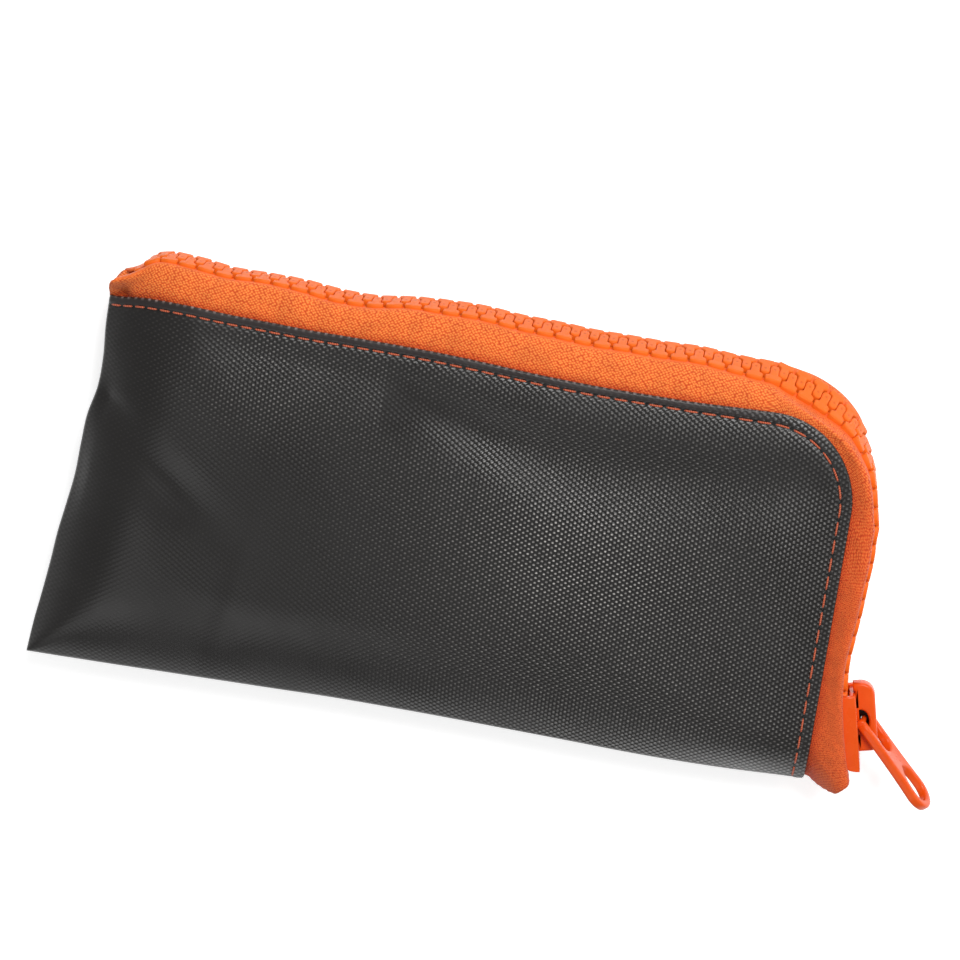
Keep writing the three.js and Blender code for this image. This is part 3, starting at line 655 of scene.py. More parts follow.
@dataclass(frozen=True)
class Pouch:
    """The pouch's shape: two skins that rise from the left and bottom folds to the zip."""

    mid: float = 12.0
    top: float = 37.2
    right: float = 83.8
    bottom: float = -45.5
    left_top: float = -84.3
    left_bottom: float = -92.6
    corner: float = 19.8
    thickness: float = 0.9
    edge_gap: float = 0.15
    zip_height: float = 8.4
    fold: float = 22.0
    fold_at_zip: float = 12.0
    fall: float = 18.0
    crown: float = 1.8
    lining_depth: float = 2.6
    lining_thickness: float = 0.4
    left_knots: tuple[float, ...] = (
        -0.5, -0.4, 0.0, 0.3, 0.4, 0.9, 1.3, 1.1, 1.0, 1.9, 1.6, 0.6, 0.1)
    bottom_knots: tuple[float, ...] = (-1.0, -0.7, -0.3, 0.1, 0.5, 0.5, 0.3, 0.0, -0.3, 0.0, 0.8)
    hem_knots: tuple[float, ...] = (
        0, 1.45, 1.76, 1.34, 1.1, 0.84, 0.84, 0.76, 0.59, 0.18, -0.37, -0.79, -0.99, -0.95, -0.9,
        -0.53, -0.2, 0, 0)
    low_corner: float = 1.4
    seam_shift: float = 0.6
    wave_depth: float = 30.0
    sag_depth: float = 26.0
    calm_hem: tuple[float, float] = (2.6, 8.0)
    calm_fold: float = 4.0
    seam_start: float = 0.6
    groove: Groove = Groove()
    dents: tuple[Dent, ...] = (
        Dent(-38.0, 38.0, 17.0, 13.0, -1.3, -25.0), Dent(-70.0, 5.0, 19.0, 4.2, -1.0, -37.0),
        Dent(-76.0, -6.0, 12.0, 8.0, 0.7, -40.0), Dent(-58.0, 20.0, 15.0, 7.0, 0.5, -58.0),
        Dent(-46.0, -20.0, 16.0, 3.0, -0.35, 78.0), Dent(-20.0, 14.0, 16.0, 6.0, 0.35, -40.0),
        Dent(66.0, 6.0, 9.0, 12.0, 0.3, 30.0), Dent(-82.0, 15.0, 7.0, 1.6, -0.5, -20.0))

    @property
    def corner_x(self) -> float:
        """X of the round corner's centre."""
        return self.right - self.corner

    @property
    def corner_y(self) -> float:
        """Y of the round corner's centre."""
        return self.top - self.corner

    def left(self, y: Array) -> Array:
        """X of the slanting left fold at a height, with the soft dents of its edge.

        Args:
            y: places up the panel.

        Returns:
            X of the fold there.
        """
        share = (y - self.bottom) / (self.top - self.bottom)
        dents = knot_line(self.left_knots, np.clip(share, 0, 1))
        return self.left_bottom + (self.left_top - self.left_bottom) * share + dents

    def lift(self, x: Array) -> Array:
        """How far the hem along the long zip waves from a straight line at an x."""
        share = (x - self.left_top) / (self.right - self.left_top)
        return knot_line(self.hem_knots, np.clip(share, 0, 1))

    def waved(self, y: Array) -> Array:
        """The share of the hem's wave that reaches down to a y."""
        return smooth_step(y, 0.0, self.wave_depth)

    def level(self, x: Array, y: Array) -> Array:
        """Y with the hem's wave taken out."""
        return y - self.lift(x) * self.waved(y)

    def seam_margin(self, x: Array) -> Array:
        """How much nearer to the hem the stitching runs along the top than down the side."""
        return self.seam_shift * (1 - smooth_step(x, 40.0, 75.0))

    def sag(self, x: Array) -> Array:
        """How far the bottom fold strays from a straight line at an x."""
        share = (x - self.left_bottom) / (self.right - self.left_bottom)
        return knot_line(self.bottom_knots, np.clip(share, 0, 1))

    def relief(self, x: Array, y: Array) -> Array:
        """Hollows and swellings of the soft front: the groove and the dents.

        Args:
            x: plan places.
            y: plan places.

        Returns:
            Heights to add, held back to nothing beside the hem and the folds.
        """
        total = self.groove.at(x, y) + sum(dent.at(x, y) for dent in self.dents)
        fold = np.minimum(x - self.left(y), y - self.bottom)
        hem_share = smooth_step(self.zip_distance(x, y), *self.calm_hem)
        return total * hem_share * smooth_step(fold, 0.0, self.calm_fold)

    def rise(self, distance: Array, width: float) -> Array:
        """A parabola from 0 at the edge to 1 at the given width."""
        return 1 - (1 - np.clip(distance / width, 0, 1)) ** 2

    def fold_distance(self, x: Array, y: Array) -> Array:
        """Distance to the nearer fold, rounded where the folds meet by a sum of fourth powers.

        Args:
            x: plan places.
            y: plan places.

        Returns:
            The distances.
        """
        y = y - self.sag(x) * (1 - smooth_step(y - self.bottom, 0.0, self.sag_depth))
        narrow = smooth_step(x, 30.0, 80.0)
        quicker = self.fold / (self.fold + (self.fold_at_zip - self.fold) * narrow)
        left = np.maximum(x - self.left(y), 1e-3)
        low = np.maximum((y - self.bottom) * quicker, 1e-3)
        return (left ** -4.0 + low ** -4.0) ** -0.25

    def zip_distance(self, x: Array, y: Array) -> Array:
        """Distance in from the panel's edge along the zip.

        Args:
            x: plan places.
            y: plan places.

        Returns:
            The distances.
        """
        y = self.level(x, y)
        straight = np.minimum(self.top - y, self.right - x)
        reach = np.hypot(x - self.corner_x, y - self.corner_y)
        return np.where((x > self.corner_x) & (y > self.corner_y), self.corner - reach, straight)

    def front(self, x: Array, y: Array) -> Array:
        """Height of the front panel's outer face.

        Args:
            x: plan places.
            y: plan places.

        Returns:
            The heights.
        """
        share = self.rise(self.fold_distance(x, y), self.fold)
        crown = self.crown * self.rise(self.zip_distance(x, y), self.fall) * share
        rise = self.zip_height - self.thickness - self.edge_gap
        return (self.mid + self.edge_gap + self.thickness + rise * share + crown
                + self.relief(x, y))

    def back(self, x: Array, y: Array) -> Array:
        """Height of the back panel's outer face.

        Args:
            x: plan places.
            y: plan places.

        Returns:
            The heights.
        """
        share = self.rise(self.fold_distance(x, y), self.fold)
        edge = self.edge_gap + self.thickness
        inside = share * self.rise(self.zip_distance(x, y), self.fall)
        return (self.mid - edge - (self.zip_height - edge) * share
                - (self.mid - self.zip_height) * inside)

    def skin(self, side: Side, x: Array, y: Array) -> Array:
        """Height of either panel's outer face."""
        return self.front(x, y) if side is Side.FRONT else self.back(x, y)

    def plan(self, rows: int, corner_rows: int, columns: int, inset: float, fold_inset: float
             ) -> tuple[Array, Array]:
        """Grid of plan points, from the bottom fold up and from the left fold to the zip.

        Args:
            rows: rows up to the round corner.
            corner_rows: rows within it, at even steps of its angle.
            columns: points in a row, crowded towards both ends.
            inset: distance in from the zip edge.
            fold_inset: distance in from the folds.

        Returns:
            X and Y of the grid.
        """
        radius = self.corner - inset
        v = np.linspace(0, 1, rows)
        v = 0.55 * v + 0.45 * (1 - np.cos(np.pi / 2 * v))
        low = self.bottom + fold_inset
        straight = low + (self.corner_y - low) * v
        angle = np.linspace(0, np.pi / 2, corner_rows + 1)[1:]
        y = np.concatenate([straight, self.corner_y + radius * np.sin(angle)])
        bow = np.concatenate([np.full(rows, radius), radius * np.cos(angle)])
        near = np.clip((y - self.bottom) / self.low_corner, 0, 1)
        end = self.corner_x + bow - self.low_corner * (1 - np.sqrt(1 - (1 - near) ** 2))
        start = self.left(y) + fold_inset
        u = np.linspace(0, 1, columns)
        u = 0.4 * u + 0.6 * (1 - np.cos(np.pi * u)) / 2
        x = start[:, None] + (end - start)[:, None] * u[None, :]
        near = 1 - smooth_step(y - low, 0.0, self.sag_depth)
        raised = self.lift(x) * self.waved(y)[:, None]
        return x, y[:, None] + self.sag(x) * near[:, None] + raised

    def seam_place(self, x: Array, y: Array, inset: float) -> Array:
        """Length along a seam at an inset: along the top, round the corner and down the side.

        Args:
            x: plan places.
            y: plan places.
            inset: the seam's distance in from the zip edge.

        Returns:
            The lengths.
        """
        y = self.level(x, y)
        radius = self.corner - inset
        start = self.left_top + self.seam_start
        along_top = np.minimum(x, self.corner_x) - start
        angle = np.arctan2(np.maximum(x - self.corner_x, 0), np.maximum(y - self.corner_y, 1e-6))
        beside = (x > self.corner_x) | (self.right - x < self.top - y)
        down = np.where(y < self.corner_y, self.corner_y - y, 0)
        turn = np.where(y < self.corner_y, np.pi / 2, angle) * radius
        return np.where(beside, self.corner_x - start + turn + down, along_top)

    def seam_point(self, place: Array, inset: float) -> tuple[Array, Array]:
        """X and Y at a length along that seam.

        Args:
            place: lengths from the seam's start.
            inset: its distance in from the zip edge.

        Returns:
            X and Y there.
        """
        radius = self.corner - inset
        start = self.left_top + self.seam_start
        first = self.corner_x - start
        bend = radius * np.pi / 2
        angle = np.clip(place - first, 0, bend) / radius
        down = np.maximum(place - first - bend, 0)
        x = np.minimum(start + place, self.corner_x) + radius * np.sin(angle)
        y = self.corner_y + radius * np.cos(angle) - down
        return x, y + (self.lift(x) + self.seam_margin(x)) * self.waved(y)


@dataclass(frozen=True)
class SeamPitch:
    """How far apart the stitches are: closer at the zip's start than along the rest."""

    first: float = 2.9
    last: float = 4.05
    over: float = 150.0
    inset: float = 2.6
    dash_share: float = 0.77

    def count(self, place: Array) -> Array:
        """Stitches from the start to a place: the integral of one over the growing pitch.

        Args:
            place: lengths from the seam's start.

        Returns:
            How many stitches, with fractions.
        """
        rate = (self.last - self.first) / self.over
        near = np.clip(place, 0, self.over)
        grown = np.log(1 + rate * near / self.first) / rate
        past, before = np.maximum(place - self.over, 0), np.minimum(place, 0)
        return grown + past / self.last + before / self.first

    def place(self, count: Array) -> Array:
        """The place of a stitch number, which inverts count.

        Args:
            count: stitch numbers.

        Returns:
            Lengths from the seam's start.
        """
        rate = (self.last - self.first) / self.over
        whole = math.log(self.last / self.first) / rate
        near = (np.exp(np.minimum(count, whole) * rate) - 1) * self.first / rate
        return near + np.maximum(count - whole, 0) * self.last


class Column(IntEnum):
    """Columns of the track's table: plan place, panel edge beside it, share turned, roll."""

    X = 0
    Y = 1
    EDGE_X = 2
    EDGE_Y = 3
    TURN = 4
    ROLL = 5


@dataclass(frozen=True)
class Frames:
    """Frames at places on the track, one row for each place.

    At is the place, t the way onwards, n outwards, b to the front and flat outwards in plan. Edge
    is the panel's edge beside it, and turn the share of the corner that lies behind it."""

    at: Array
    t: Array
    n: Array
    b: Array
    flat: Array
    edge: Array
    turn: Array

    def put(self, onwards: Array, outwards: Array, over: Array) -> Array:
        """Places the same points at every frame.

        Args:
            onwards: how far each point lies along t.
            outwards: how far along n.
            over: how far along b.

        Returns:
            Frames by points by 3.
        """
        t, n, b = (np.asarray(way, float)[None, :, None] for way in (onwards, outwards, over))
        return self.at[:, None] + self.t[:, None] * t + self.n[:, None] * n + self.b[:, None] * b


@dataclass(frozen=True)
class Track:
    """The line that the outer faces of the zip's teeth follow."""

    top: float = 45.5
    start_x: float = -82.3
    radius: float = 28.0
    corner_x: float = 62.3
    wave: float = 2.5
    top_waves: tuple[float, ...] = (
        -0.8, 0.92, 0.94, 0.58, 0.62, 0.48, 0.14, 0.14, 0.56, 0.66, 0.68, 0.4, 0.29, 0.1, 0.11,
        0.07, 0.14, -0.13, -0.3)
    corner_waves: tuple[float, ...] = (
        -0.3, -0.64, -0.76, -0.75, -0.6, -0.48, -0.58, -0.5, -0.46, -0.24, 0.22)
    side_waves: tuple[float, ...] = (0.22, 0.58, 0.64, 0.62, 0.4, 0.1, 0, 0, 0, 0, 0)
    roll_degrees: float = 27.0
    top_rolls: tuple[float, ...] = (
        0.11, 0.11, 0.19, 0.15, 0.1, 0.19, 0.25, 0.2, 0.17, 0.32, 0.33, 0.37, 0.42, 0.44, 0.42,
        0.44, 0.45, 0.52, 0.67)
    corner_rolls: tuple[float, ...] = (0.67, 0.87, 1, 0.96, 0.78, 0.55, 0.27, 0.08, 0, 0, 0)
    lean_degrees: float = 8.6
    side_radius: float = 120.0
    side_length: float = 59.5
    pitch: float = 4.2
    end_inset: float = 5.5
    detail: int = 400
    reach: float = 0.4

    def table(self, pouch: Pouch) -> tuple[Array, Array]:
        """The track as a table.

        Args:
            pouch: the pouch that it runs round.

        Returns:
            Places along it, and one row of Column values for each.
        """
        lean = math.radians(self.lean_degrees)
        corner_y = self.top - self.radius
        u = np.linspace(0, 1, self.detail)
        x = self.start_x + (self.corner_x - self.start_x) * u
        y = self.top + self.wave * knot_line(self.top_waves, u)
        rolls = knot_line(self.top_rolls, u)
        runs = [np.stack([x, y, x, np.full_like(x, pouch.top), 0 * x, rolls], axis=1)]
        turn = u[1:]
        angle = np.pi / 2 - (np.pi / 2 + lean) * turn
        around = np.pi / 2 * (1 - turn)
        radius = self.radius + self.wave * knot_line(self.corner_waves, turn)
        runs.append(np.stack([
            self.corner_x + radius * np.cos(angle), corner_y + radius * np.sin(angle),
            pouch.corner_x + pouch.corner * np.cos(around),
            pouch.corner_y + pouch.corner * np.sin(around),
            turn, knot_line(self.corner_rolls, turn)], axis=1))
        start = np.array([self.corner_x + self.radius * math.cos(lean),
                          corner_y - self.radius * math.sin(lean)])
        centre = start + self.side_radius * np.array([math.cos(lean), -math.sin(lean)])
        angle = np.pi - lean + turn * self.side_length / self.side_radius
        low = pouch.bottom + self.end_inset
        radius = self.side_radius - self.wave * knot_line(self.side_waves, turn)
        runs.append(np.stack([
            centre[0] + radius * np.cos(angle), centre[1] + radius * np.sin(angle),
            np.full_like(turn, pouch.right), pouch.corner_y + (low - pouch.corner_y) * turn,
            np.ones_like(turn), np.zeros_like(turn)], axis=1))
        rows = np.concatenate(runs)
        wave = pouch.lift(rows[:, Column.EDGE_X]) * pouch.waved(rows[:, Column.EDGE_Y])
        rows[:, Column.EDGE_Y] += wave
        step = np.hypot(*np.diff(rows[:, :2], axis=0).T)
        return np.concatenate([[0], np.cumsum(step)]), rows

    def length(self, pouch: Pouch) -> float:
        """The track's whole length."""
        return float(self.table(pouch)[0][-1])

    def frames(self, pouch: Pouch, s: Array) -> Frames:
        """Frames at places on the track, carried straight on past both its ends.

        Args:
            pouch: the pouch that it runs round.
            s: places, in millimetres from the zip's start.

        Returns:
            The frames.
        """
        places, rows = self.table(pouch)
        s = np.asarray(s, float)
        pick = lambda column, where: np.interp(where, places, rows[:, column])
        plan = lambda where: np.stack([pick(Column.X, where), pick(Column.Y, where)], axis=-1)
        within = np.clip(s, 0, places[-1])
        ahead = np.minimum(within + self.reach, places[-1])
        behind = np.maximum(within - self.reach, 0)
        t = unit(np.concatenate([plan(ahead) - plan(behind), 0 * s[:, None]], axis=-1))
        flat = np.stack([-t[:, 1], t[:, 0], 0 * s], axis=-1)
        roll = math.radians(self.roll_degrees) * pick(Column.ROLL, s)[:, None]
        up = np.array([[0.0, 0.0, 1.0]])
        past = (np.maximum(s - places[-1], 0) + np.minimum(s, 0))[:, None]
        at = np.concatenate([plan(s), np.full((len(s), 1), pouch.mid)], axis=-1)
        edge = np.stack([pick(Column.EDGE_X, s), pick(Column.EDGE_Y, s)], axis=-1)
        return Frames(at + t * past, t, flat * np.cos(roll) + up * np.sin(roll),
                      up * np.cos(roll) - flat * np.sin(roll), flat, edge + t[:, :2] * past,
                      pick(Column.TURN, s))


# Finishes
@dataclass(frozen=True)
class WovenNylon:
    """Ballistic nylon, plain woven from flat charcoal yarn: a dark ground with a broad soft sheen
    where the cloth turns to the light, and painted highlights: rows of small pale glints painted on
    the crests of the weave wherever a painted sheen mask stands high."""

    name: str = "woven_nylon"
    ground: str = "#0d0c0b"
    yarn: str = "#1b1918"
    painted_glint: str = "#bcb8b4"
    plain: str = "#1b1918"
    hem: str = "#292221"
    fray_and_edge_glint: str = "#8f817d"
    hole: str = "#080605"
    repeat_u_mm: float = 1.66
    repeat_v_mm: float = 1.12
    roughness: float = 0.34
    speckle: float = 130.0
    patch: float = 6.0
    weave_depth_m: float = 0.00006

    def make(self) -> bpy.types.Material:
        """Builds the material: the weave is the product of a sine along and one across.

        Returns:
            The material.
        """
        recipe = Recipe(self.name)
        along, across = recipe.threads(self.repeat_u_mm, self.repeat_v_mm)
        weave = recipe.math("MULTIPLY", along, across)
        painted_shine, turned = recipe.mark("painted_shine"), recipe.mark("turned_hem")
        uneven = recipe.remap(recipe.noise(recipe.uv(), self.speckle, 2.0), 0.35, 0.68, 0.3, 1.0)
        # Painted highlights: pale glints on the crests of the weave, shown as far as the painted
        # sheen mask allows
        glints = recipe.math("MULTIPLY", recipe.remap(weave, 0.22, 1.0, soft=True), uneven)
        seen = recipe.math("MULTIPLY", glints, recipe.remap(painted_shine, 0.12, 1.0, 0.02, 1.0))
        # Painted shade: the ground colour between the yarns is darker than their crests
        cloth = recipe.mix(recipe.remap(weave, -1.0, 1.0), self.ground, self.yarn)
        # Painted light and shade: where the painted sheen mask is low the weave is painted flat and
        # dark, and where it is high the pale painted glints are mixed in
        with_painted_glints = recipe.mix(seen, recipe.mix(painted_shine, self.plain, cloth), self.painted_glint)
        strip = recipe.mix(turned, with_painted_glints, self.hem)
        # Painted highlight: pale dashes along the hem's folded edge stand in for the highlight on
        # the fold
        glint_dashes = recipe.math("MULTIPLY", recipe.remap(along, 0.0, 0.8), uneven)
        frayed_and_glinting = recipe.math("MULTIPLY", glint_dashes, recipe.mark("hem_edge"))
        edged = recipe.mix(frayed_and_glinting, strip, self.fray_and_edge_glint)
        # Painted shade: between two stitches the needle hole in the seam line is painted near black
        between = recipe.math("PINGPONG", recipe.mark("stitch_number"), 0.5)
        ended = recipe.remap(between, 0.07, 0.16, 1.0, 0.0)
        on_line = recipe.remap(recipe.mark("seam_offset"), 0.2, 0.6, 1.0, 0.0)
        colour = recipe.mix(recipe.math("MULTIPLY", ended, on_line), edged, self.hole)
        rough = recipe.remap(recipe.noise(recipe.uv(), self.patch, 3.0), 0.3, 0.7,
                             self.roughness - 0.05, self.roughness + 0.09)
        height = recipe.math("MULTIPLY", weave, recipe.remap(turned, 0.0, 1.0, 1.0, 0.15))
        raised = recipe.math("MULTIPLY", height, recipe.remap(painted_shine, 0.12, 0.45, 0.25, 1.0))
        return recipe.finish(colour, rough, (raised, 1.0, self.weave_depth_m),
                             Specular_IOR_Level=0.46)


@dataclass(frozen=True)
class ZipTapeCloth:
    """Polyester zip tape: slanted rows of small loops, painted lighter on their tops as painted
    highlight and darker and redder in the gaps as painted shade, smooth in the strip beside the
    teeth, and with painted shade that darkens it towards the hem and down the side."""

    name: str = "zip_tape_cloth"
    loop: str = "#ff9445"
    ground: str = "#f06c28"
    gap: str = "#cb4713"
    painted_hem_shade: str = "#dc9f86"
    yarn_mm: float = 0.66
    slant: float = 0.6
    squeeze: float = 1.25
    strip_height: float = 0.85

    def make(self) -> bpy.types.Material:
        """Builds the material from slanted cells, one for each loop, with noise on top.

        Returns:
            The material.
        """
        recipe = Recipe(self.name)
        cell = UV_UNIT / self.yarn_mm
        rows = recipe.add("Mapping", {}, {"Vector": recipe.uv(), "Rotation": (0, 0, self.slant),
                                          "Scale": (cell, cell * self.squeeze, 1)})
        cells = recipe.add("TexVoronoi", {"voronoi_dimensions": "2D", "feature": "SMOOTH_F1"}, {
            "Vector": rows.outputs[0], "Scale": 1.0, "Smoothness": 0.2, "Randomness": 0.45})
        loops = recipe.remap(cells.outputs["Distance"], 0.15, 0.75, 1.0, 0.0)
        mixed = recipe.math("MULTIPLY_ADD", recipe.noise(recipe.uv(), 260.0, 3.0), 0.4, loops)
        calm = recipe.add("Mix", {"data_type": "FLOAT"}, {
            0: recipe.mark("smooth_strip"), 2: mixed, 3: self.strip_height}).outputs[0]
        # Painted highlight and shade: loop tops take a lighter colour and the gaps between loops a
        # darker, redder one, following the same height as the bump
        under = recipe.mix(recipe.remap(calm, 0.25, 0.8), self.gap, self.ground)
        over = recipe.mix(recipe.remap(calm, 0.8, 1.2), under, self.loop)
        # Painted shade: the tape is darkened and reddened towards the hem, where it turns in under
        # the panel, and down the side
        painted_shade_tone = recipe.mix(recipe.mark("painted_shade_near_hem"), over, self.painted_hem_shade, "MULTIPLY")
        shade = recipe.remap(recipe.noise(recipe.uv(), 24.0, 2.0), 0.3, 0.7, 0.9, 1.06)
        tinted = recipe.add("VectorMath", {"operation": "SCALE"}, {0: painted_shade_tone, "Scale": shade})
        return recipe.finish(tinted.outputs[0], 0.72, (calm, 0.5, 0.00028),
                             Specular_IOR_Level=0.3, Sheen_Weight=0.12)


@dataclass(frozen=True)
class MouldedAcetal:
    """Injection-moulded acetal teeth: an even satin orange with a faint orange-peel, and the
    small mark of an ejector pin in the middle of each tooth."""

    name: str = "moulded_acetal"
    body: str = "#ee6d20"
    mark: str = "#d85c18"
    roughness: float = 0.42

    def make(self) -> bpy.types.Material:
        """Builds the material: the pin mark is a small oval in the tooth's own UV map.

        Returns:
            The material.
        """
        recipe = Recipe(self.name)
        reach = recipe.vector("LENGTH", recipe.vector("MULTIPLY", recipe.uv(), (10.0, 6.5, 0)))
        mark = recipe.remap(reach, 0.2, 0.38, 1.0, 0.0, soft=True)
        peel = recipe.noise(recipe.place(), 900.0, 2.0, "3D")
        dent = recipe.math("MULTIPLY_ADD", mark, -0.5, peel)
        return recipe.finish(
            recipe.mix(mark, self.body, self.mark), self.roughness, (dent, 0.25, 0.0002),
            Specular_IOR_Level=0.12, Subsurface_Weight=0.05,
            Subsurface_Radius=(0.002, 0.0008, 0.0003))


@dataclass(frozen=True)
class BakedEnamel:
    """Stoved enamel over die-cast zinc: a glossy red-orange coat with soft edges, a few fine
    ripples and slightly rougher where fingers rub it."""

    name: str = "baked_enamel"
    coat: str = "#e0490a"
    worn: str = "#e85a16"

    def make(self) -> bpy.types.Material:
        """Builds the material with a thin clear coat and two scales of noise.

        Returns:
            The material.
        """
        recipe = Recipe(self.name)
        rub = recipe.noise(recipe.place(), 240.0, 3.0, "3D")
        ripple = recipe.noise(recipe.place(), 520.0, 1.0, "3D")
        return recipe.finish(
            recipe.mix(rub, self.coat, self.worn), recipe.remap(rub, 0.35, 0.7, 0.24, 0.38),
            (ripple, 0.08, 0.0002), Specular_IOR_Level=0.22, Coat_Weight=0.1, Coat_Roughness=0.12)


@dataclass(frozen=True)
class SewingThread:
    """Two-ply polyester sewing thread: matt orange, with painted shade in the slanting grooves of
    its twist and a lighter tone on its crests.
    """

    name: str = "sewing_thread"
    light: str = "#d0603a"
    painted_shade_tone: str = "#9c4426"
    ply_mm: float = 0.5

    def make(self) -> bpy.types.Material:
        """Builds the material from slanting bands along each stitch.

        Returns:
            The material.
        """
        recipe = Recipe(self.name)
        turn = 2 * math.pi
        slant = recipe.vector("DOT_PRODUCT", recipe.uv(), (turn * UV_UNIT / self.ply_mm, turn, 0))
        wave = recipe.math("SINE", slant)
        # Painted shade: the darker tone follows the grooves of the twist, on the same wave as the
        # bump
        tone = recipe.mix(recipe.remap(wave, -1.0, 0.6), self.painted_shade_tone, self.light)
        return recipe.finish(tone, 0.62, (wave, 0.5, 0.00008), Sheen_Weight=0.15)


@dataclass(frozen=True)
class FineCloth:
    """A plain cloth, ribbed tape or net: fine threads both ways, with the thread colour on their
    crests and a darker ground colour painted into the hollows between them as painted shade, varied
    at random.
    """

    name: str
    ground: str
    thread: str
    pitch_u_mm: float
    pitch_v_mm: float
    roughness: float = 0.85
    depth_mm: float = 0.08

    def make(self) -> bpy.types.Material:
        """Builds the material: the height is a sine along plus a sine across.

        Returns:
            The material.
        """
        recipe = Recipe(self.name)
        weave = recipe.math("ADD", *recipe.threads(self.pitch_u_mm, self.pitch_v_mm))
        # Painted shade: the ground colour fills the hollows of the weave and the thread colour its
        # crests, both mixed with random noise
        worn = recipe.math("MULTIPLY", recipe.remap(weave, -1.6, 1.6),
                           recipe.noise(recipe.uv(), 30.0, 4.0))
        return recipe.finish(recipe.mix(worn, self.ground, self.thread), self.roughness,
                             (weave, 0.5, self.depth_mm * MM))


@dataclass(frozen=True)
class SpringSteel:
    """Blued spring steel strip: dark grey, with fine rolling lines."""

    name: str = "spring_steel_strip"
    tone: str = "#34302d"

    def make(self) -> bpy.types.Material:
        """Builds the material with noise drawn out along the strip.

        Returns:
            The material.
        """
        recipe = Recipe(self.name)
        drawn = recipe.vector("MULTIPLY", recipe.place(), (4000.0, 200.0, 4000.0))
        lines = recipe.noise(drawn, 1.0, 2.0, "3D")
        return recipe.finish(self.tone, recipe.remap(lines, 0.3, 0.7, 0.22, 0.4), Metallic=1.0)


class Finishes:
    """Every finish of the case, made once."""

    def __init__(self) -> None:
        """Makes the finishes."""
        self.nylon = WovenNylon().make()
        self.tape = ZipTapeCloth().make()
        self.teeth = MouldedAcetal().make()
        self.enamel = BakedEnamel().make()
        self.thread = SewingThread().make()
        self.steel = SpringSteel().make()
        cloths = (("lining_taffeta", "#3b3a3b", "#6a696a", 0.55, 0.55, 0.6),
                  ("ribbed_elastic", "#161616", "#3c3c3c", 1.1, 9.0, 0.8, 0.25),
                  ("grosgrain_binding", "#1a1a1a", "#3a3a3a", 0.9, 6.0, 0.8, 0.15),
                  ("knitted_net", "#1e1e1e", "#8c8b8b", 1.6, 1.6, 0.7, 0.2))
        self.lining, self.elastic, self.binding, self.net = (
            FineCloth(*values).make() for values in cloths)


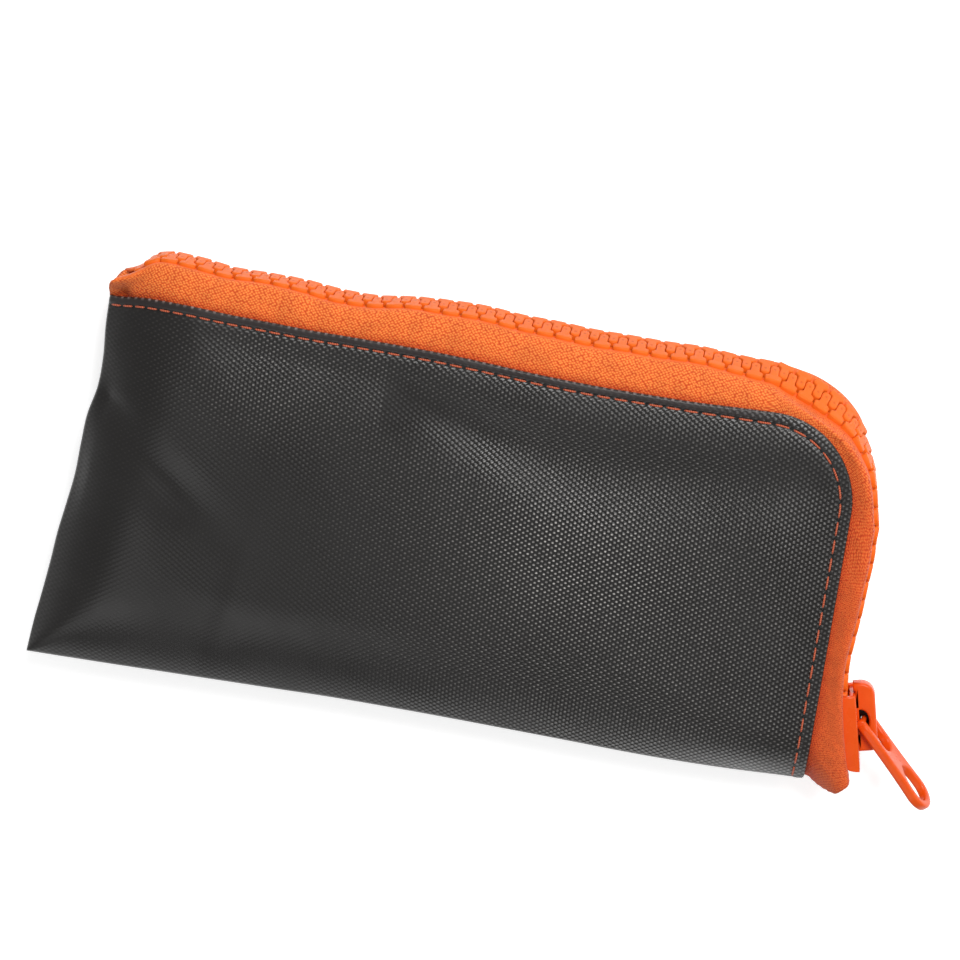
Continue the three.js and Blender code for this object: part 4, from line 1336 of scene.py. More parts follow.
@dataclass
class FlapLine:
    """The line that the opened front folds along, with the width of its soft bend."""

    left: tuple[float, float] = (-84.3, 34.0)
    right: tuple[float, float] = (91.0, -18.0)
    half_width: float = 5.0
    level_z: float = 12.0

    def height(self, x: Array) -> Array:
        """Y of the line at an x."""
        slope = (self.right[1] - self.left[1]) / (self.right[0] - self.left[0])
        return self.left[1] + slope * (x - self.left[0])

    def bend(self, piece: bpy.types.Object) -> None:
        """Bakes a soft piece's place into its points; the ends of the line are worked out but not
        used.

        Args:
            piece: a soft piece that lies across it.
        """
        left, right = (np.array([*end, self.level_z]) for end in (self.left, self.right))
        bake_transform(piece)


@dataclass
class Shell:
    """The two outer panels of woven nylon with their turned hems and their stitching."""

    pouch: Pouch
    finishes: Finishes
    flap: FlapLine
    seam: SeamPitch = field(default_factory=SeamPitch)
    rows: int = 92
    corner_rows: int = 44
    columns: int = 300
    hem: float = 0.32
    edge_round: float = 0.42
    hem_fades: tuple[float, float] = (1.9, 3.1)
    groove_depth: float = 0.3
    groove_half: float = 0.5
    thread: float = 0.22
    bow: float = 0.34
    sunk: float = 0.12

    def face(self, side: Side, x: Array, y: Array) -> Array:
        """Height of a panel's outer face with its turned hem and the groove of its seam.

        Args:
            side: front or back.
            x: plan places.
            y: plan places.

        Returns:
            The heights.
        """
        edge = self.pouch.zip_distance(x, y) + self.pouch.seam_margin(x)
        hem = self.hem * (1 - smooth_step(edge, *self.hem_fades))
        groove = self.groove_depth * np.exp(-((edge - self.seam.inset) / self.groove_half) ** 2)
        return self.pouch.skin(side, x, y) + side.value * (hem - groove)

    def painted_shine(self, x: Array, y: Array) -> Array:
        """A painted sheen mask: how far the painted glints show, as painted highlight more towards
        the right, in a slanted band and in a patch at the upper left, and as painted shade less
        down the side and in a painted shadow under the hem.

        Args:
            x: plan places.
            y: plan places.

        Returns:
            A rising ease plus two gaussians, less an ease and a gaussian.
        """
        rising = 0.42 * smooth_step(x + 0.4 * y, -50.0, 30.0)
        band = 0.75 * np.exp(-((x - 0.45 * y - 28) / 20) ** 2 - ((y + 0.3 * x - 7) / 13) ** 2)
        patch = 0.36 * np.exp(-((x + 46) / 17) ** 2 - ((y - 27) / 13) ** 2)
        side = 0.1 * smooth_step(x, 50.0, 80.0)
        shadow = 0.2 * np.exp(-((y - 26) / 7) ** 2) * (x > -20)
        return 0.12 + rising + band + patch - side - shadow

    def panel(self, side: Side) -> bpy.types.Object:
        """Makes one panel as a closed sheet whose edges are quarter circles.

        Args:
            side: the front or the back.

        Returns:
            The panel.
        """
        pouch = self.pouch
        x, y = pouch.plan(self.rows, self.corner_rows, self.columns, 0.0, 0.0)
        edge = np.maximum(pouch.zip_distance(x, y), 0)
        fold = np.minimum(x - pouch.left(y), y - pouch.bottom - pouch.sag(x))
        out = self.edge_round - np.clip(np.minimum(edge, fold), 0, self.edge_round)
        drop = self.edge_round - np.sqrt(np.maximum(self.edge_round ** 2 - out ** 2, 0))
        outer = self.face(side, x, y) - side.value * drop
        inner = pouch.skin(side, x, y) - side.value * (pouch.thickness - drop)
        seam_edge = edge + pouch.seam_margin(x)
        # The turned hem, and the painted highlight of pale dashes along its folded edge, are plain
        # to see along the top and fade down the side
        marks = {
            "stitch_number": self.seam.count(pouch.seam_place(x, y, self.seam.inset)),
            "seam_offset": np.abs(seam_edge - self.seam.inset),
            "turned_hem": ((1 - smooth_step(seam_edge, 1.7, 2.6))
                           * (1 - 0.85 * smooth_step(x, 45.0, 78.0))),
            "hem_edge": np.exp(-(edge / 0.3) ** 2) * (1 - smooth_step(x, 60.0, 80.0)),
            "painted_shine": self.painted_shine(x, y)}
        return plan_sheet(f"{side.name.lower()}_panel_cloth", x, y, outer, inner,
                          self.finishes.nylon, marks)

    def stitches(self, side: Side) -> bpy.types.Object:
        """Makes the top-stitching of one panel, a short bowed thread for each stitch.

        Args:
            side: the front or the back.

        Returns:
            All the stitches as one piece.
        """
        pouch, inset = self.pouch, self.seam.inset
        bend = (pouch.corner - inset) * math.pi / 2
        whole = (pouch.corner_x - pouch.left_top - pouch.seam_start + bend
                 + pouch.corner_y - pouch.bottom)
        number = np.arange(0, int(self.seam.count(np.array(whole)))) + 0.5
        rings = np.linspace(-0.5, 0.5, 9)
        sides = np.radians(np.arange(0, 360, 60))
        middle = self.seam.place(number[:, None] + rings[None, :] * self.seam.dash_share)
        x, y = pouch.seam_point(middle, inset)
        lift = self.bow * (1 - (2 * rings) ** 4) - self.sunk
        centre = np.stack([x, y, self.face(side, x, y) + side.value * lift[None, :]], axis=-1)
        along = unit(np.gradient(centre, axis=1))
        across = unit(np.cross(along, np.array([0.0, 0.0, float(side.value)])))
        out = np.cross(across, along)
        taper = self.thread * (1 - 0.3 * (2 * rings) ** 6)
        circle = (across[:, :, None] * np.cos(sides)[None, None, :, None]
                  + out[:, :, None] * np.sin(sides)[None, None, :, None])
        points = centre[:, :, None] + circle * taper[None, :, None, None]
        faces = repeated(tube_faces(len(rings), len(sides)), len(number), len(rings) * len(sides))
        uv = np.stack(np.broadcast_arrays(middle[:, :, None] / UV_UNIT, sides / (2 * np.pi)),
                      axis=-1)
        name = f"{side.name.lower()}_top_stitching"
        return outward(make_object(name, points, faces, self.finishes.thread, uv))

    def build(self) -> list[bpy.types.Object]:
        """Makes both panels and their stitching, hides the solids that they stand for and puts the
        back's pieces with the case.

        Returns:
            The four pieces.
        """
        front, back = self.panel(Side.FRONT), self.panel(Side.BACK)
        front_thread, back_thread = self.stitches(Side.FRONT), self.stitches(Side.BACK)
        declare(front, "shell_fabric", None, "front_panel_flap", "front_panel_lower")
        declare(back, "shell_fabric", Body.CASE, "back_panel")
        declare(front_thread, "zip_tape", None)
        declare(back_thread, "zip_tape", Body.CASE)
        for piece in (front, front_thread):
            self.flap.bend(piece)
        return [front, back, front_thread, back_thread]


@dataclass
class Linings:
    """The grey lining of both panels."""

    pouch: Pouch
    finishes: Finishes
    flap: FlapLine
    inset: float = 2.0
    fold_inset: float = 5.2
    rows: int = 50
    corner_rows: int = 24
    columns: int = 120

    def lining(self, side: Side) -> bpy.types.Object:
        """Makes one lining, with a ripple that is the product of two sines.

        Args:
            side: the front or the back.

        Returns:
            The lining.
        """
        x, y = self.pouch.plan(self.rows, self.corner_rows, self.columns, self.inset,
                               self.fold_inset)
        ripple = 0.1 * np.sin(x / 9.0 + y / 13.0) * np.sin(y / 7.0)
        skin = self.pouch.skin(side, x, y) - side.value * (self.pouch.lining_depth - ripple)
        return plan_sheet(f"{side.name.lower()}_lining_cloth", x, y, skin,
                          skin - side.value * self.pouch.lining_thickness, self.finishes.lining)

    def build(self) -> list[bpy.types.Object]:
        """Makes both linings as thin closed sheets a little inside the panels.

        Returns:
            The front and the back lining.
        """
        front, back = (self.lining(side) for side in Side)
        declare(front, "lining_fabric", None, "front_lining_flap", "front_lining_lower")
        declare(back, "lining_fabric", Body.CASE, "back_lining")
        self.flap.bend(front)
        return [front, back]


@dataclass
class ZipTapes:
    """The two woven tapes that carry the teeth, from the chain to under the panels' hems."""

    pouch: Pouch
    track: Track
    finishes: Finishes
    flap: FlapLine
    chain_half: float = 4.5
    tooth: float = 3.0
    thickness: float = 0.6
    across: int = 34
    step: float = 0.8
    start_knots: tuple[float, ...] = (0.4, -0.5, -1.5, -2.1, -1.9, -1.9, -2.0)
    end_knots: tuple[float, ...] = (-7.7, -4.6, -1.6, 3.0, 5.0, 3.6, 2.4)
    full: float = 0.8
    under_pad: float = 1.1
    bend_out: float = 0.3
    straight_top: float = 0.9
    straight_side: float = 2.25
    panel_gap: float = 0.45
    tuck: float = 4.0
    pinch_place: float = 3.2
    side_from_end: tuple[float, float] = (52.0, 40.0)

    def section(self, side: Side, s: Array) -> Array:
        """Middle points of the tape: knots from beside the teeth to under the hem, joined by a
        natural cubic spline.

        Args:
            side: the front or the back.
            s: places on the track.

        Returns:
            Places by points across by 3.
        """
        sign = side.value
        frames = self.track.frames(self.pouch, s)
        on = lambda over: (frames.at - frames.n * self.tooth / 2
                           + frames.b * np.asarray(over)[..., None])
        longer = self.straight_side - self.straight_top
        straight = self.straight_top + longer * smooth_step(frames.turn * 2, 0, 1)
        beside = on(np.full_like(s, (self.chain_half - self.under_pad) * sign))
        bend = on((self.chain_half + self.bend_out + straight) * sign)
        depth = self.pouch.thickness + self.panel_gap + self.thickness / 2
        under = []
        for reach in (0.0, self.tuck):
            at = frames.edge - frames.flat[:, :2] * reach
            z = self.pouch.skin(side, at[:, 0], at[:, 1]) - sign * depth
            under.append(np.concatenate([at, z[:, None]], axis=1))
        bulge = unit(frames.flat + np.array([0, 0, float(sign)]))
        middle = (bend + under[0]) / 2 + self.full * bulge
        knots = np.stack([beside, bend, middle, *under], axis=1)
        weights = spline_weights(5, np.linspace(0, 4, self.across))
        return np.einsum("ka,sac->skc", weights, knots)

    def grid(self, side: Side, s: Array, places: Array) -> Array:
        """The tape's middle surface, with its frayed end and the front tape's pinch.

        Args:
            side: the front or the back.
            s: places on the track, one row each.
            places: the same for every point across, shifted at the tape's slanted ends.

        Returns:
            Places by points across by 3.
        """
        coarse = np.arange(-5.0, s[-1, 0] + 8.0, 0.5)
        wide = self.section(side, coarse)
        grid = np.stack([np.stack([np.interp(places[:, k], coarse, wide[:, k, axis])
                                   for k in range(self.across)], axis=1) for axis in range(3)],
                        axis=-1)
        share = np.linspace(0, 1, self.across)
        fray_and_edge_glint = 0.12 * np.sin(places * 9.0) * np.sin(share * 40.0)
        grid[-1, :, :2] += fray_and_edge_glint[-1][:, None]
        if side is Side.BACK:
            return grid
        pinch = (0.4 * (1 - smooth_step(s, 0.4, 2.0))
                 - np.exp(-((s - self.pinch_place) / 1.1) ** 2))
        reach = np.exp(-((share - 0.72) / 0.14) ** 2)
        return grid + grid_normals(grid) * (pinch * reach)[..., None]

    def tape(self, side: Side) -> bpy.types.Object:
        """Makes one tape with slanted ends, smooth beside the teeth and darker by the hem.

        Args:
            side: the front or the back.

        Returns:
            The tape.
        """
        whole = self.track.length(self.pouch)
        share = np.linspace(0, 1, self.across)
        early, late = knot_line(self.start_knots, share), knot_line(self.end_knots, share)
        s = np.linspace(0.0, whole, int(whole / self.step))[:, None]
        places = (s + early * (1 - smooth_step(s, 0.0, 12.0))
                  + late * smooth_step(s, whole - 14.0, whole))
        grid = self.grid(side, s, places)
        normal = grid_normals(grid) * self.thickness / 2
        gap = np.linalg.norm(np.diff(grid, axis=1), axis=2)
        width = np.concatenate([np.zeros((len(s), 1)), np.cumsum(gap, axis=1)], axis=1)
        # The loops are finer down the side
        side_run = smooth_step(s, *(whole - back for back in self.side_from_end))
        along = places + 0.9 * np.cumsum(side_run, axis=0) * self.step
        uv = np.stack([along, width * (1 + 0.3 * side_run)], axis=-1) / UV_UNIT
        # The smooth strip widens at both ends and fades down the side
        film = (1.5 + 1.2 * (1 - smooth_step(places, 3.0, 12.0))
                + 4.0 * smooth_step(s, whole - 7.0, whole))
        down = self.track.frames(self.pouch, s[:, 0]).turn[:, None]
        tail = smooth_step(s, whole - 12.0, whole - 4.0)
        strip = (1 - smooth_step(width, film, film + 0.8)) * (1 - 0.6 * down * (1 - tail))
        # Painted shade: this mark darkens the tape towards the hem and, in part, all down the side
        hem = smooth_step(width, 0.55 * width[:, -1:], 0.78 * width[:, -1:])
        return closed_sheet(
            f"{side.name.lower()}_tape_cloth", grid + normal, grid - normal, self.finishes.tape, uv,
            {"smooth_strip": strip, "painted_shade_near_hem": hem + 0.62 * (1 - hem) * down})

    def build(self) -> list[bpy.types.Object]:
        """Makes both tapes.

        Returns:
            The front and the back tape.
        """
        front, back = self.tape(Side.FRONT), self.tape(Side.BACK)
        declare(front, "zip_tape", None, "front_zip_tape", "front_zip_tape_lower")
        declare(back, "zip_tape", Body.CASE, "back_zip_tape")
        self.flap.bend(front)
        return [front, back]


@dataclass
class Teeth:
    """The moulded teeth: a pad over the tape's cord, a neck and a rounded head."""

    pouch: Pouch
    track: Track
    finishes: Finishes
    flap: FlapLine
    chain_half: float = 4.5
    thickness: float = 3.0
    start: float = 6.0
    half_pad: float = 1.66
    bevel: float = 0.34
    dome: tuple[float, float] = (0.12, 0.1)
    end_from_zip_end: float = 10.8
    cord_over: float = 3.1
    cord_half: tuple[float, float] = (0.7, 0.55)
    cord_step: float = 1.4

    def outline(self) -> Array:
        """The tooth's outline, along the zip and out from its middle.

        Returns:
            Its corners, in order.
        """
        top = self.chain_half
        right = [(1.5, top), (1.8, top - 0.35), (1.84, 2.6), (1.0, 2.05), (0.96, 0.7), (1.02, 0.2),
                 (1.02, -1.0), (0.7, -1.75)]
        left = [(-x, y) for x, y in reversed(right)]
        return np.array(right + left)

    def row(self, name: str, side: Side, low: float, high: float, body: Body,
            *nodes: str) -> bpy.types.Object:
        """Makes the teeth of one row between two places, with the cord that they grip.

        Args:
            name: the piece's name.
            side: the front or the back row.
            low: the first place on the track.
            high: the last place.
            body: what it moves with.
            nodes: the solids that it stands for.

        Returns:
            The row of teeth.
        """
        points, faces = plate_template([self.outline()], self.thickness, self.bevel, 2)
        shift = 0.0 if side is Side.FRONT else self.track.pitch / 2
        whole = self.track.length(self.pouch)
        s = np.arange(self.start + self.half_pad + shift, whole, self.track.pitch)
        s = s[(s - self.half_pad >= low - 0.01) & (s + self.half_pad <= high + 0.01)]
        crown = (self.dome[0] * (points[:, 0] / 1.88) ** 2
                 + self.dome[1] * (points[:, 1] / self.chain_half) ** 2)
        depth = points[:, 2] - self.thickness / 2
        out = np.where(depth > -self.thickness / 2, depth - crown, depth)
        placed = self.track.frames(self.pouch, s).put(points[:, 0], out, points[:, 1] * side.value)
        teeth = placed.reshape(-1, 3), repeated(faces, len(s), len(points))
        cord = self.cord(side, s[0] - self.half_pad, s[-1] + self.half_pad)
        uv = np.concatenate([np.tile(points[:, :2] / 10, (len(s), 1)),
                             np.full((len(cord[0]), 2), NO_MARK)])
        piece = make_object(name, *parts_together([teeth, cord]), self.finishes.teeth, uv)
        return declare(outward(piece), "zip_teeth", body, *nodes)

    def cord(self, side: Side, low: float, high: float) -> Solid:
        """The round cord in the tape's edge that the pads grip.

        Args:
            side: the front or the back row.
            low: where it starts.
            high: where it ends.

        Returns:
            Its points and faces.
        """
        s = np.linspace(low, high, max(3, int((high - low) / self.cord_step)))
        angle = np.radians(np.arange(0, 360, 45)) * side.value
        over, out = self.cord_half
        ring = self.track.frames(self.pouch, s).put(
            0 * angle, out * np.sin(angle) - self.thickness / 2,
            over * np.cos(angle) + side.value * self.cord_over)
        return ring.reshape(-1, 3), tube_faces(*ring.shape[:2])

    def block(self, name: str, low: tuple[float, float, float], high: tuple[float, float, float],
              place: float, node: str) -> bpy.types.Object:
        """Makes a moulded stop as a rounded block on the track.

        Args:
            name: the piece's name.
            low: its lowest corner, onwards, outwards and to the front.
            high: its highest corner.
            place: where on the track it sits.
            node: the solid that it stands for.

        Returns:
            The stop.
        """
        loop = rounded_box((low[0], low[2]), (high[0], high[2]), 0.7)
        points, faces = plate_template([loop], high[1] - low[1], 0.45)
        placed = self.track.frames(self.pouch, np.array([place])).put(
            points[:, 0], points[:, 2] + (high[1] + low[1]) / 2, points[:, 1])
        uv = np.full((len(points), 2), NO_MARK)
        piece = make_object(name, placed, faces, self.finishes.teeth, uv)
        return declare(outward(piece), "zip_teeth", Body.CASE, node)

    def build(self) -> list[bpy.types.Object]:
        """Makes the rows of teeth, cut where the solids' rows are cut, and the stops.

        Returns:
            All of them.
        """
        pitch, begin = self.track.pitch, self.start + self.half_pad
        gap_near = lambda place: begin + (math.floor((place - begin) / pitch) + 0.5) * pitch
        s, rows = self.track.table(self.pouch)
        side_start = s[-1] - self.track.side_length
        below = rows[:, Column.Y] < self.flap.height(rows[:, Column.X])
        side_cut, flap_cut = gap_near(side_start), gap_near(s[(s > side_start) & below][0])
        start, half, end = self.start, pitch / 2, s[-1] - self.end_from_zip_end
        front, back, flap, case = Side.FRONT, Side.BACK, Body.FLAP, Body.CASE
        return [
            self.row("front_tooth_row", front, start, side_cut, flap, "front_teeth"),
            self.row("front_side_tooth_row", front, side_cut, flap_cut, flap, "front_teeth_side"),
            self.row("front_lower_tooth_row", front, flap_cut, end, case, "front_teeth_lower"),
            self.row("back_tooth_row", back, start + half, side_cut + half, case, "back_teeth"),
            self.row("back_side_tooth_row", back, side_cut + half, end, case, "back_teeth_side"),
            self.block("start_stop_bar", (-3.46, -3.0, -3.9), (-1.66, -0.9, 2.6), start,
                       "start_stop"),
            self.block("front_stop_bar", (0.3, -3.0, 1.5), (3.6, 0.0, 4.5), end, "front_end_stop"),
            self.block("back_stop_bar", (0.3, -3.0, -4.5), (3.6, 0.0, -1.5), end, "back_end_stop")]


@dataclass
class Slider:
    """The enamelled slider: its body, the crown over it, the lock spring and the pull."""

    pouch: Pouch
    track: Track
    finishes: Finishes
    to_end: float = 14.0
    length: float = 17.0
    half_width: float = 6.4
    inner_half_width: float = 5.9
    plate: float = 1.5
    clearance: float = 0.45
    tooth: float = 3.0
    corner: float = 1.8
    trim: float = 0.08
    post: tuple[float, float] = (3.5, 8.0)
    skirt: float = 2.1
    bar_along: float = -2.1
    bar_over: float = 1.45
    eye_over: float = 0.9
    arch: float = 1.9
    crown_height: float = 4.2
    crown_half: float = 2.0
    leaf: tuple[float, float] = (-0.9, -0.3)
    leaf_bore: float = 0.66

    @property
    def base(self) -> float:
        """Height of the outer plate's outer face over the teeth."""
        return self.clearance + self.plate

    def frames(self) -> Frames:
        """The track's frame at the slider's middle."""
        place = self.track.length(self.pouch) - self.to_end
        return self.track.frames(self.pouch, np.array([place]))

    def put(self, name: str, parts: list[Solid], node: str, slot: str = "slider_enamel"
            ) -> bpy.types.Object:
        """Places parts given as onwards, outwards and to the front, and makes them one piece.

        Args:
            name: the piece's name.
            parts: points and faces of each.
            node: the solid that it stands for.
            slot: its material's slot.

        Returns:
            The piece.
        """
        points, faces = parts_together(parts)
        placed = self.frames().put(*points.T)
        finish = self.finishes.enamel if slot == "slider_enamel" else self.finishes.steel
        piece = make_object(name, placed, faces, finish)
        return declare(outward(piece), slot, Body.SLIDER, node)

    def lying(self, loop: Array, low: float, high: float, bevel: float) -> Solid:
        """A plate that lies flat over the chain, between two distances outwards.

        Args:
            loop: its outline.
            low: its inner face.
            high: its outer face.
            bevel: how much its edges are rounded.

        Returns:
            Its points and faces.
        """
        points, faces = plate_template([loop], high - low, bevel)
        x, y, z = points.T
        return np.stack([x, z + (low + high) / 2, -y], axis=1), faces

    def standing(self, loops: list[Array], low: float, high: float, bevel: float) -> Solid:
        """A plate that stands up from the chain, between two distances to the front."""
        points, faces = plate_template(loops, high - low, bevel)
        return points + np.array([0, 0, (low + high) / 2]), faces

    def body(self) -> bpy.types.Object:
        """Makes the slider's body: two plates, four flanges and the wedge post.

        Returns:
            The body.
        """
        half, low, high = self.length / 2, self.clearance, self.base
        inner_high = -self.tooth - self.clearance
        inner_low = inner_high - self.plate
        wide, narrow = self.half_width, self.inner_half_width
        post = rounded_box((self.post[0], inner_high - 0.3), (self.post[1], low + 0.3), 0.25)
        parts = [self.standing([post], -1, 1, 0.2)]
        for reach, under, over in ((wide, low, high), (narrow, inner_low, inner_high)):
            side = reach - self.trim
            plate = rounded_box((-half, -side), (half, side), self.corner)
            parts.append(self.lying(plate, under, over, 0.4))
        skirt = low - self.skirt
        outer = np.array([
            [-half - 0.4, high - 0.05], [-half - 0.4, skirt + 0.4], [-half, skirt],
            [half - 2.6, skirt], [half - 1.4, skirt + 0.4], [half - 0.6, skirt + 1.3],
            [half - 0.25, high - 0.9], [half - 0.25, high - 0.05]])
        inner = np.array([[-half + 1.8, inner_low + 0.3], [half - 1.8, inner_low + 0.3],
                          [half - 1.8, inner_high + 1.0], [-half + 1.8, inner_high + 1.0]])
        for loop, reach, thick, bevel in ((outer, wide, 1.45, 0.28), (inner, narrow, 0.95, 0.25)):
            for sign in (-1, 1):
                near, far = sorted((sign * (reach - thick), sign * reach))
                parts.append(self.standing([loop], near, far, bevel))
        return self.put("slider_shell", parts, "slider_body")

    def arched(self, foot: float, stretch: tuple[float, float]) -> Array:
        """An arch over the pull's bar: a foot and half a circle, stretched along and up."""
        shape = np.concatenate([[[-self.arch, foot]], arc((0, 0), self.arch, 180, 0, 12),
                                [[self.arch, foot]]])
        return np.array([self.bar_along, self.base + self.eye_over]) + np.array(stretch) * shape

    def crown(self) -> bpy.types.Object:
        """Makes the crown, a bridge with an eye for the pull's bar.

        Returns:
            The crown.
        """
        foot, roof = self.base - 0.1, self.base + self.crown_height
        rear, front = -self.length / 2 - 2.2, self.length / 2 - 3.7
        outline = np.concatenate([
            [[rear, self.base - 0.5], [rear + 1.8, self.base - 0.5], [rear + 1.8, foot],
             [front, foot]],
            arc((front - 1.5, roof - 1.5), 1.5, 0, 90, 8),
            arc((rear + 3.0, roof - 3.0), 3.0, 90, 180, 10)])
        eye = self.arched(-0.6, (1.3, 0.9))
        bridge = self.standing([outline, eye], -self.crown_half, self.crown_half, 0.6)
        return self.put("slider_bridge", [bridge], "slider_crown")

    def spring(self) -> bpy.types.Object:
        """Makes the lock spring: a leaf in the bridge's eye, bored for the pull's bar.

        Returns:
            The spring.
        """
        leaf = self.arched(-0.75, (1.42, 1.05))[::-1]
        bore = arc((self.bar_along, self.base + self.bar_over), self.leaf_bore, 360, 0, 17)[:-1]
        return self.put("lock_leaf", [self.standing([leaf, bore], *self.leaf, 0.05)],
                        "lock_spring", "spring_steel")

    def build(self) -> list[bpy.types.Object]:
        """Makes the slider's pieces and the pull that hangs from them.

        Returns:
            The four pieces.
        """
        return [self.body(), self.crown(), self.spring(), Pull(self).build()]


@dataclass
class Pull:
    """The pull: two legs with a bar between them, an eye window, a teardrop hole and a nub."""

    slider: Slider
    length: float = 24.5
    half: float = 4.2
    head: float = 4.8
    thick: float = 2.1
    leg: float = 1.9
    waist: float = 0.5
    eye_end: float = 9.1
    hole_half: float = 3.0
    hole_start: float = 13.6
    hole_end: float = 22.7
    bar: float = 0.62
    knuckle: float = 1.05
    nub: float = 0.55
    hangs_degrees: float = -45.5
    twist_degrees: float = 12.0

    def plate(self) -> Solid:
        """The flat of the pull, from its bar along x, with the window and the teardrop cut out.

        Returns:
            Its points and faces.
        """
        length, half, head, side = self.length, self.half, self.head, self.half - self.waist
        end, inner = length - head, half - self.leg
        outline = np.concatenate([
            parabola((0, -half), (length / 2, -side), (end, -head))[:-1],
            arc((end, 0), head, -90, 90, 20),
            parabola((end, head), (length / 2, side), (0, half))[:-1], [[0, half], [0, inner]],
            arc((self.eye_end - inner, 0), inner, 90, -90, 16), [[0, -inner]]])
        start, hole = self.hole_start, self.hole_half
        wide, bulge = self.hole_end - hole, start + hole / 2
        teardrop = np.concatenate([
            parabola((start, 0.0), (bulge, hole), (wide, hole))[:-1],
            arc((wide, 0), hole, 90, -90, 16),
            parabola((wide, -hole), (bulge, -hole), (start, 0.0))[1:-1]])
        return plate_template([outline, teardrop], self.thick, 0.6)

    def build(self) -> bpy.types.Object:
        """Makes the pull, hanging down and a little askew as in the photo.

        Returns:
            The pull.
        """
        slider, half, leg = self.slider, self.half, self.leg
        parts = [self.plate(), rod((0, -half + leg / 2, 0), (0, half - leg / 2, 0), self.bar)]
        parts += [rod((0, s * (half - leg + 0.1), 0), (0, s * (half - 0.1), 0), self.knuckle)
                  for s in (-1, 1)]
        tip = (self.length - 0.6, self.head * 0.45)
        parts.append(rod((*tip, -0.6), (*tip, 0.6), self.nub))
        points, faces = parts_together(parts)
        pivot = slider.frames().put([slider.bar_along], [slider.base + slider.bar_over], [0.0])[0]
        angle, twist = math.radians(self.hangs_degrees), math.radians(self.twist_degrees)
        along = np.array([math.cos(angle), math.sin(angle), 0.0])
        face = np.array([-math.sin(angle) * math.cos(twist), math.cos(angle) * math.cos(twist),
                         math.sin(twist)])
        placed = pivot + points @ np.array([along, np.cross(face, along), face])
        piece = make_object("slider_pull", placed, faces, slider.finishes.enamel)
        return declare(outward(piece), "slider_enamel", Body.PULL, "pull_tab")


